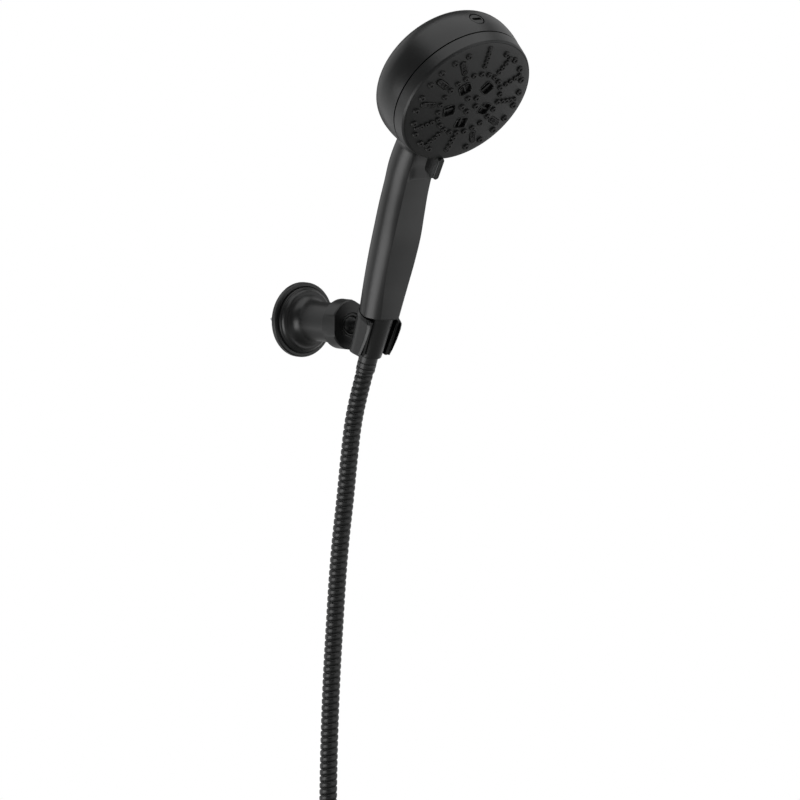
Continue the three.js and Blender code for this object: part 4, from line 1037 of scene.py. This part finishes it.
class SHOWER_OT_hose(bpy.types.Operator):
    """Winds the hose's ribbed armour along its way, coil and tail, with its fittings"""
    bl_idname = "shower.hose"
    bl_label = "Hose"

    def execute(self, context):
        sizes = context.scene.shower_sizes
        hose, path, length = hose_mesh("hose_armour", sizes.rib_pitch / MM, sizes.groove / MM)
        place_piece(hose, "hose", "hose_metal", finish("coated_steel_strip"),
                    "hose", "hose_coil", "hose_tail")
        metal = finish("satin_black_coat")
        tail = np.array([0, -TAIL_OUT, TAIL_END])
        sleeve = mesh_of("supply_sleeve", [
            turned(loop_of(ferrule_outline(7.6, -18.3, -0.3, 5.35)), 72) + tail])
        place_piece(sleeve, "hose", "hose_metal", metal, "lower_ferrule")
        nut = mesh_of("supply_nut", [hexagon_grid(24, -32.7, -18.7, 9.6, -21.1, 5.5) + tail], 25)
        place_piece(nut, "hose", "matte_black_metal", metal, "hex_nut")
        strap = strap_grid(TURNS_OUT, 6.95, 12, 1.1)
        strap += np.array([COIL_R, 0, COIL_MIDDLE_Z + COIL_R - 0.4])
        tie = mesh_of("hose_strap", [strap])
        place_piece(tie, "hose", "black_rubber", finish("silicone_rubber"), "coil_tie")
        upper = mesh_of("handset_sleeve", [in_handset(turned(socket_outline(), 72))])
        place_piece(upper, "handset", "hose_metal", metal, "upper_ferrule")
        return {"FINISHED"}


class SHOWER_OT_bracket(bpy.types.Operator):
    """Turns the wall flange with its neck, the lock nut with its three flats, and the ball"""
    bl_idname = "shower.bracket"
    bl_label = "Wall bracket"

    def execute(self, context):
        sides = context.scene.shower_sizes.sides
        coat = finish("satin_black_coat")
        flare = np.radians(np.linspace(0, 90, 14))
        flare = np.stack([15 + 6.4 * (1 - np.sin(flare)), 9.6 + 8.5 * (1 - np.cos(flare))], axis=-1)
        outline = np.concatenate([
            rounded([
                (26.2, 1.5, 0), (26.2, 0, 0), (28.2, 0, 0.3), (28.2, 3.5, 0.7), (27.3, 4.2, 0.4),
                (25.4, 4.2, 0.3), (25.1, 3.5, 0.2), (24.8, 3.5, 0.2), (24.6, 5.8, 0.7),
                (23.4, 6.6, 0.5), (22.9, 8.2, 0.8), (22.2, 9.0, 0)], steps=5),
            flare,
            rounded([(15, 18.4, 0), (15, 47.2, 0.5), (14, 47.2, 0), (14, 56.5, 0.4),
                     (11.5, 56.5, 0.3), (11.5, 42.3, 0), (7.9, 42.3, 0), (7.9, 4, 0), (22, 4, 0),
                     (22, 1.5, 0), (26.2, 1.5, 0)])])
        flange = mesh_of("wall_flange_turned", [in_arm(turned(outline, sides))])
        place_piece(flange, "bracket", "matte_black_metal", coat, "wall_flange")

        profile = rounded([
            (18.1, 47.7, 0), (18.85, 48.4, 0.3), (18.85, 60.4, 0), (18.0, 61.3, 0.3),
            (9.6, 61.3, 0.4), (8.6, 60.6, 0.4), (8.3, 60.6, 0.3), (8.0, 61.0, 0.2),
            (6.7, 60.8, 0.5), (7.2, 59.6, 0), (8.3, 58, 0), (14.3, 58, 0), (14.3, 47.7, 0),
            (18.1, 47.7, 0)], steps=5)
        nut = mesh_of("lock_nut_turned", [in_arm(flatted(turned(profile, 240), 16.8, 50.2))], 22)
        place_piece(nut, "bracket", "matte_black_plastic", coat, "lock_nut")

        angle = np.radians(np.linspace(-90, 66.7, 40))
        ball = np.stack([8.6 * np.cos(angle), 54.5 + 8.6 * np.sin(angle)], axis=-1)
        ball[0, 0] = 0
        stem = rounded([(3.4, 62.4, 0), (3.4, 70.4, 0.4), (0, 70.4, 0)])
        made = mesh_of("swivel_ball_turned", [in_arm(turned(np.concatenate([ball, stem]), 72))])
        place_piece(made, "cradle", "matte_black_metal", coat, "swivel_ball")
        return {"FINISHED"}


class SHOWER_OT_cradle(bpy.types.Operator):
    """Makes the cradle's clip with its boss, and the cover round it"""
    bl_idname = "shower.cradle"
    bl_label = "Cradle"

    def execute(self, context):
        boss = turned(rounded([(0, 70.7, 0), (6.2, 70.7, 0.6), (6.2, 79.0, 0), (0, 79.0, 0)]), 64)
        clip = mesh_of("cradle_clip_moulded", [
            in_handset(fork_grid(clip_section(), arm_reach, CLIP_END)), in_arm(boss)])
        place_piece(clip, "cradle", "matte_black_plastic", finish("moulded_acetal"), "cradle_clip")
        cover = mesh_of("cradle_cover_moulded", [in_handset(cover_grid())])
        place_piece(cover, "cradle", "matte_black_plastic", finish("satin_black_coat"),
                    "cradle_cover")
        return {"FINISHED"}


class SHOWER_OT_handset(bpy.types.Operator):
    """Makes the handle and head as one shell with a fillet at the neck, its plug and cone nut"""
    bl_idname = "shower.handset"
    bl_label = "Handset shell"

    def execute(self, context):
        coat = finish("satin_black_coat")
        head = mesh_of("head_part", [in_head(shell_grid())])
        hole = mesh_of("hole", [in_head(on_side(
            turned([(0, 54), (6.2, 54), (6.2, 62), (0, 62)], 64), PLUG_AT))])
        head = cut(head, hole)
        handle = mesh_of("handle_part", [in_handset(handle_grid())])
        shell = merged("handset_shell", head, handle)
        place_piece(shell, "handset", "matte_black_plastic", coat, "body_shell", "grip_panel")

        plug = mesh_of("shell_plug", [in_head(on_side(turned(rounded([
            (0, 49, 0), (3.4, 49, 0), (3.4, 54.2, 0), (5.55, 54.2, 0), (5.55, 57.75, 0.5),
            (4.9, 58.1, 0.6), (0, 58.15, 0)]), 64), PLUG_AT))])
        slot = mesh_of("slot", [in_head(on_side(
            capped(block(8.0, 2.7, 0.4, [(0, 56.2), (0, 60)])), PLUG_AT))])
        plug = cut(plug, slot)
        place_piece(plug, "handset", "matte_black_plastic", coat, "retaining_plug")

        nut = mesh_of("cone_nut_turned", [in_handset(turned(loop_of(rounded([
            (5.4, -33, 0.2), (9.3, -33, 0.8), (9.42, -31.6, 0.3), (11.75, 0.6, 0.5),
            (11.3, 1.5, 0.4), (9, 1.5, 0.3), (9, -18, 0), (5.4, -18, 0)], closed=True)), 120))])
        place_piece(nut, "hose_nut", "matte_black_plastic", finish("moulded_acetal"), "cone_nut")
        return {"FINISHED"}


class SHOWER_OT_face(bpy.types.Operator):
    """Makes the domed spray face, its nozzles and pads, the five jet inserts and the selector"""
    bl_idname = "shower.face"
    bl_label = "Spray face"

    def execute(self, context):
        sides = context.scene.shower_sizes.sides
        dome = np.linspace(0, 52.6, 30)
        top = np.stack([dome, face_height(dome)], axis=-1)
        rim = rounded([(52.6, face_height(52.6), 0), (54.36, face_height(54.36) - 0.1, 0.35),
                       (54.36, -10, 0), (52.6, -10, 0), (52.6, face_height(52.6) - 2.4, 0)])
        under = np.stack([dome[::-1], face_height(dome[::-1]) - 2.4], axis=-1)
        face = mesh_of("spray_face", [in_head(turned(np.concatenate([top, rim, under]), sides))])
        holes = []
        for degrees in PADS:
            pad = capped(block(5.8, 14.0, 2.8, [(0, -8), (0, 5)]))
            holes.append(in_head(at_angle(pad, PAD_AT, degrees)))
        for k in range(5):
            slot = capped(block(11.4, 11.0, 3.0, [(0, -8), (0, 5)]))
            holes.append(in_head(at_angle(slot, INSERT_AT, 72 * k + 36)))
        face = cut(face, mesh_of("holes", holes))
        place_piece(face, "handset", "matte_black_plastic", finish("satin_black_face"),
                    "face_plate")

        mat = np.concatenate([
            np.stack([dome, face_height(dome) - 2.7], axis=-1),
            np.stack([dome[::-1], face_height(dome[::-1]) - 4.2], axis=-1)])
        studs = mesh_of("spray_nozzles", [
            in_head(turned(mat, 96)), *[in_head(g) for g in nozzle_grids()]])
        place_piece(studs, "handset", "black_rubber", finish("silicone_rubber"), "nozzle_mat")

        for k in range(5):
            cup = block(11.2, 10.8, 2.9, [
                (0, -3.0), (0, 0.15), (0.12, 0.42), (0.4, 0.5), (0.7, 0.42), (0.82, 0.2),
                (1.0, -4.6)])
            bar = capped(block(1.7, 8.6, 0.5, [(0, -5), (0, -1.2), (0.25, -0.95)], arc=4))
            fin = capped(block(9.0, 1.3, 0.5, [(0, -5), (0, -2.0), (0.2, -1.8)], arc=4))
            grids = [capped(cup), bar, fin]
            for grid in grids:
                grid[..., 2] += face_height(INSERT_AT)
            insert = mesh_of(f"jet_insert_{k + 1}", [
                in_head(at_angle(g, INSERT_AT, 72 * k + 36)) for g in grids])
            place_piece(insert, "handset", "grey_plastic", finish("moulded_acetal"),
                        f"kinetic_insert_{k + 1}")

        ring = rounded([
            (24.2, -12.4, 0), (54.5, -12.4, 0), (54.5, -3.3, 0.15), (55.0, -3.5, 0.5),
            (55.9, -5.0, 0.8), (56.5, -9.5, 0), (57.0, -13.8, 0.3), (24.2, -14, 0),
            (24.2, -12.4, 0)])
        selector = mesh_of("selector_bezel", [
            in_head(turned(ring, sides)), in_head(tab_grid()), in_head(tab_front_grid())])
        place_piece(selector, "selector", "matte_black_plastic", finish("satin_black_face"),
                    "selector_ring")
        return {"FINISHED"}


class SHOWER_OT_inside(bpy.types.Operator):
    """Gives the parts inside, which keep their own shapes, the finishes of their real materials"""
    bl_idname = "shower.inside"
    bl_label = "Parts inside"

    def execute(self, context):
        kinds = {
            "matte_black_plastic": "moulded_acetal", "matte_black_metal": "satin_black_coat",
            "hose_metal": "satin_black_coat", "black_rubber": "silicone_rubber",
            "grey_plastic": "grey_abs", "white_plastic": "natural_acetal",
            "steel": "stainless_steel", "brass": "turned_brass",
        }
        slots = {}
        for part in frame["record"]["materials"]:
            for node in part.get("nodes", []):
                slots[node] = part["slot"]
        for name, node in frame["nodes"].items():
            slot = slots.get(name)
            if slot is None:
                used = node.data.materials[0].name if node.data.materials else ""
                slot = next((s for s in kinds if s in used), "matte_black_plastic")
            node.data.materials.clear()
            node.data.materials.append(finish(kinds[slot]))
        return {"FINISHED"}


# ---- the stage ----

AIM = Vector((0.0547, -0.0511, -0.0604))  # what the camera and the lamps point at
BACK = Vector((-0.627, -0.774, 0.087)).normalized()  # from there to the camera
RIGHT = Vector((0.777, -0.629, 0)).normalized()  # the camera's right
FRAME_WIDE = 0.6016  # metres across the frame, at the aim
LAMPS_AWAY = 1.3  # metres from the aim to each lamp
FLOOR_MIDDLE = np.array([60, -50, -760])  # millimetres

# name, degrees round from the camera (right is positive), degrees up, width, height, radiance
LAMPS = [
    ("left_softbox", -59, -18, 1.0, 1.0, 3.2),
    ("left_fill", -122, 12, 1.3, 1.9, 0.7),
    ("right_wall", 68, 2, 1.9, 1.9, 0.82),
    ("back_right_wall", 138, 8, 1.3, 2.2, 0.55),
    ("top_softbox", 20, 78, 1.7, 1.7, 1.3),
]


def facing(made, place, way):
    """Puts a camera or lamp at a place with its back along a direction."""
    made.location = place
    made.rotation_mode = "QUATERNION"
    made.rotation_quaternion = way.to_track_quat("Z", "Y")


def add_camera(scene):
    """A long lens from far away, which draws the set almost without perspective."""
    data = bpy.data.cameras.new("camera")
    data.lens = 1400
    data.sensor_width = 36
    far = FRAME_WIDE * data.lens / data.sensor_width
    data.clip_end = 4 * far
    scene.camera = linked("camera", data)
    facing(scene.camera, AIM + BACK * far, BACK)


def add_lamp(name, around, up, wide, tall, radiance):
    """A soft rectangle that faces the aim and is as bright all over as its radiance says."""
    lamp = bpy.data.lights.new(name, "AREA")
    lamp.shape = "RECTANGLE"
    lamp.size = wide
    lamp.size_y = tall
    lamp.energy = radiance * math.pi * wide * tall
    around, up = math.radians(around), math.radians(up)
    level = Vector((BACK.x, BACK.y, 0)).normalized()
    way = (RIGHT * math.sin(around) + level * math.cos(around)) * math.cos(up)
    place = AIM + LAMPS_AWAY * (way + Vector((0, 0, math.sin(up))))
    made = linked(name, lamp)
    facing(made, place, place - AIM)


def add_world(scene):
    """A pale room: white where the camera sees it, and dim on the object."""
    world = bpy.data.worlds.new("pale_room")
    scene.world = world
    world.use_nodes = True
    tree = world.node_tree
    tree.nodes.clear()
    seen = add_node(tree, "ShaderNodeLightPath").outputs["Is Camera Ray"]
    room = add_node(tree, "ShaderNodeBackground", {"Color": (1, 1, 1, 1), "Strength": 0.1})
    white = add_node(tree, "ShaderNodeBackground", {"Color": (1, 1, 1, 1), "Strength": 1.0})
    mixed = add_node(tree, "ShaderNodeMixShader", {
        0: seen, 1: room.outputs[0], 2: white.outputs[0]})
    add_node(tree, "ShaderNodeOutputWorld", {"Surface": mixed.outputs[0]})


def floor_material():
    """A pale painted floor that keeps its shadow near the object and runs out into plain white."""
    material, tree, out, where = new_material("pale_floor")
    lit = add_node(tree, "ShaderNodeBsdfDiffuse", {"Color": linear("#8a8a88")})
    lift = add_node(tree, "ShaderNodeEmission", {"Color": (1, 1, 1, 1), "Strength": 0.72})
    seen = add_node(tree, "ShaderNodeLightPath").outputs["Is Camera Ray"]
    dark = add_node(tree, "ShaderNodeEmission", {"Color": (1, 1, 1, 1), "Strength": 0.0})
    lifted = add_node(tree, "ShaderNodeMixShader", {
        0: seen, 1: dark.outputs[0], 2: lift.outputs[0]})
    near = add_node(tree, "ShaderNodeAddShader", {0: lit.outputs[0], 1: lifted.outputs[0]})
    level = add_node(tree, "ShaderNodeMapRange", {"Value": seen, "To Min": 0.62, "To Max": 1.0})
    white = add_node(tree, "ShaderNodeEmission", {
        "Color": (1, 1, 1, 1), "Strength": level.outputs[0]})
    run = add_node(tree, "ShaderNodeVectorMath", {
        0: where, 1: tuple(FLOOR_MIDDLE * MM)}, operation="DISTANCE")
    fade = add_node(tree, "ShaderNodeMapRange", {
        "Value": run.outputs["Value"], "From Min": 0.35, "From Max": 1.5},
        interpolation_type="SMOOTHSTEP")
    both = add_node(tree, "ShaderNodeMixShader", {
        0: fade.outputs[0], 1: near.outputs[0], 2: white.outputs[0]})
    tree.links.new(both.outputs[0], out.inputs["Surface"])
    return material


class SHOWER_OT_stage(bpy.types.Operator):
    """Sets the camera, the soft lamps, the pale surroundings and the floor"""
    bl_idname = "shower.stage"
    bl_label = "Stage"

    def execute(self, context):
        scene = context.scene
        scene.view_settings.view_transform = "Standard"
        add_camera(scene)
        share = scene.shower_sizes.light
        for *lamp, radiance in LAMPS:
            add_lamp(*lamp, radiance * share)
        add_world(scene)
        radius = np.linspace(0, 2200, 12)
        disc = np.stack([radius, np.zeros_like(radius)], axis=-1)
        edge = disc[::-1] - [0, 4]
        floor = mesh_of("floor", [turned(np.concatenate([disc, edge]), 96) + FLOOR_MIDDLE])
        floor.data.materials.append(floor_material())
        return {"FINISHED"}


class SHOWER_PT_panel(bpy.types.Panel):
    """Lists the sizes, the colours and the pieces"""
    bl_label = "Shower"
    bl_idname = "SHOWER_PT_panel"
    bl_space_type = "VIEW_3D"
    bl_region_type = "UI"
    bl_category = "Shower"

    def draw(self, context):
        for group in (context.scene.shower_sizes, context.scene.shower_colours):
            box = self.layout.box()
            for name in group.__annotations__:
                box.prop(group, name)
        for operator in OPERATORS:
            self.layout.operator(operator.bl_idname)


OPERATORS = (
    SHOWER_OT_stage, SHOWER_OT_hose, SHOWER_OT_bracket, SHOWER_OT_cradle, SHOWER_OT_handset,
    SHOWER_OT_face, SHOWER_OT_inside,
)
CLASSES = (ShowerSizes, ShowerColours, *OPERATORS, SHOWER_PT_panel)


def register():
    for kind in CLASSES:
        bpy.utils.register_class(kind)
    bpy.types.Scene.shower_sizes = PointerProperty(type=ShowerSizes)
    bpy.types.Scene.shower_colours = PointerProperty(type=ShowerColours)


def unregister():
    del bpy.types.Scene.shower_colours
    del bpy.types.Scene.shower_sizes
    for kind in reversed(CLASSES):
        bpy.utils.unregister_class(kind)


def main():
    register()
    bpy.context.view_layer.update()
    bpy.ops.shower.stage()
    bpy.ops.shower.hose()
    bpy.ops.shower.bracket()
    bpy.ops.shower.cradle()
    bpy.ops.shower.handset()
    bpy.ops.shower.face()
    bpy.ops.shower.inside()


if __name__ == "__main__":
    main()
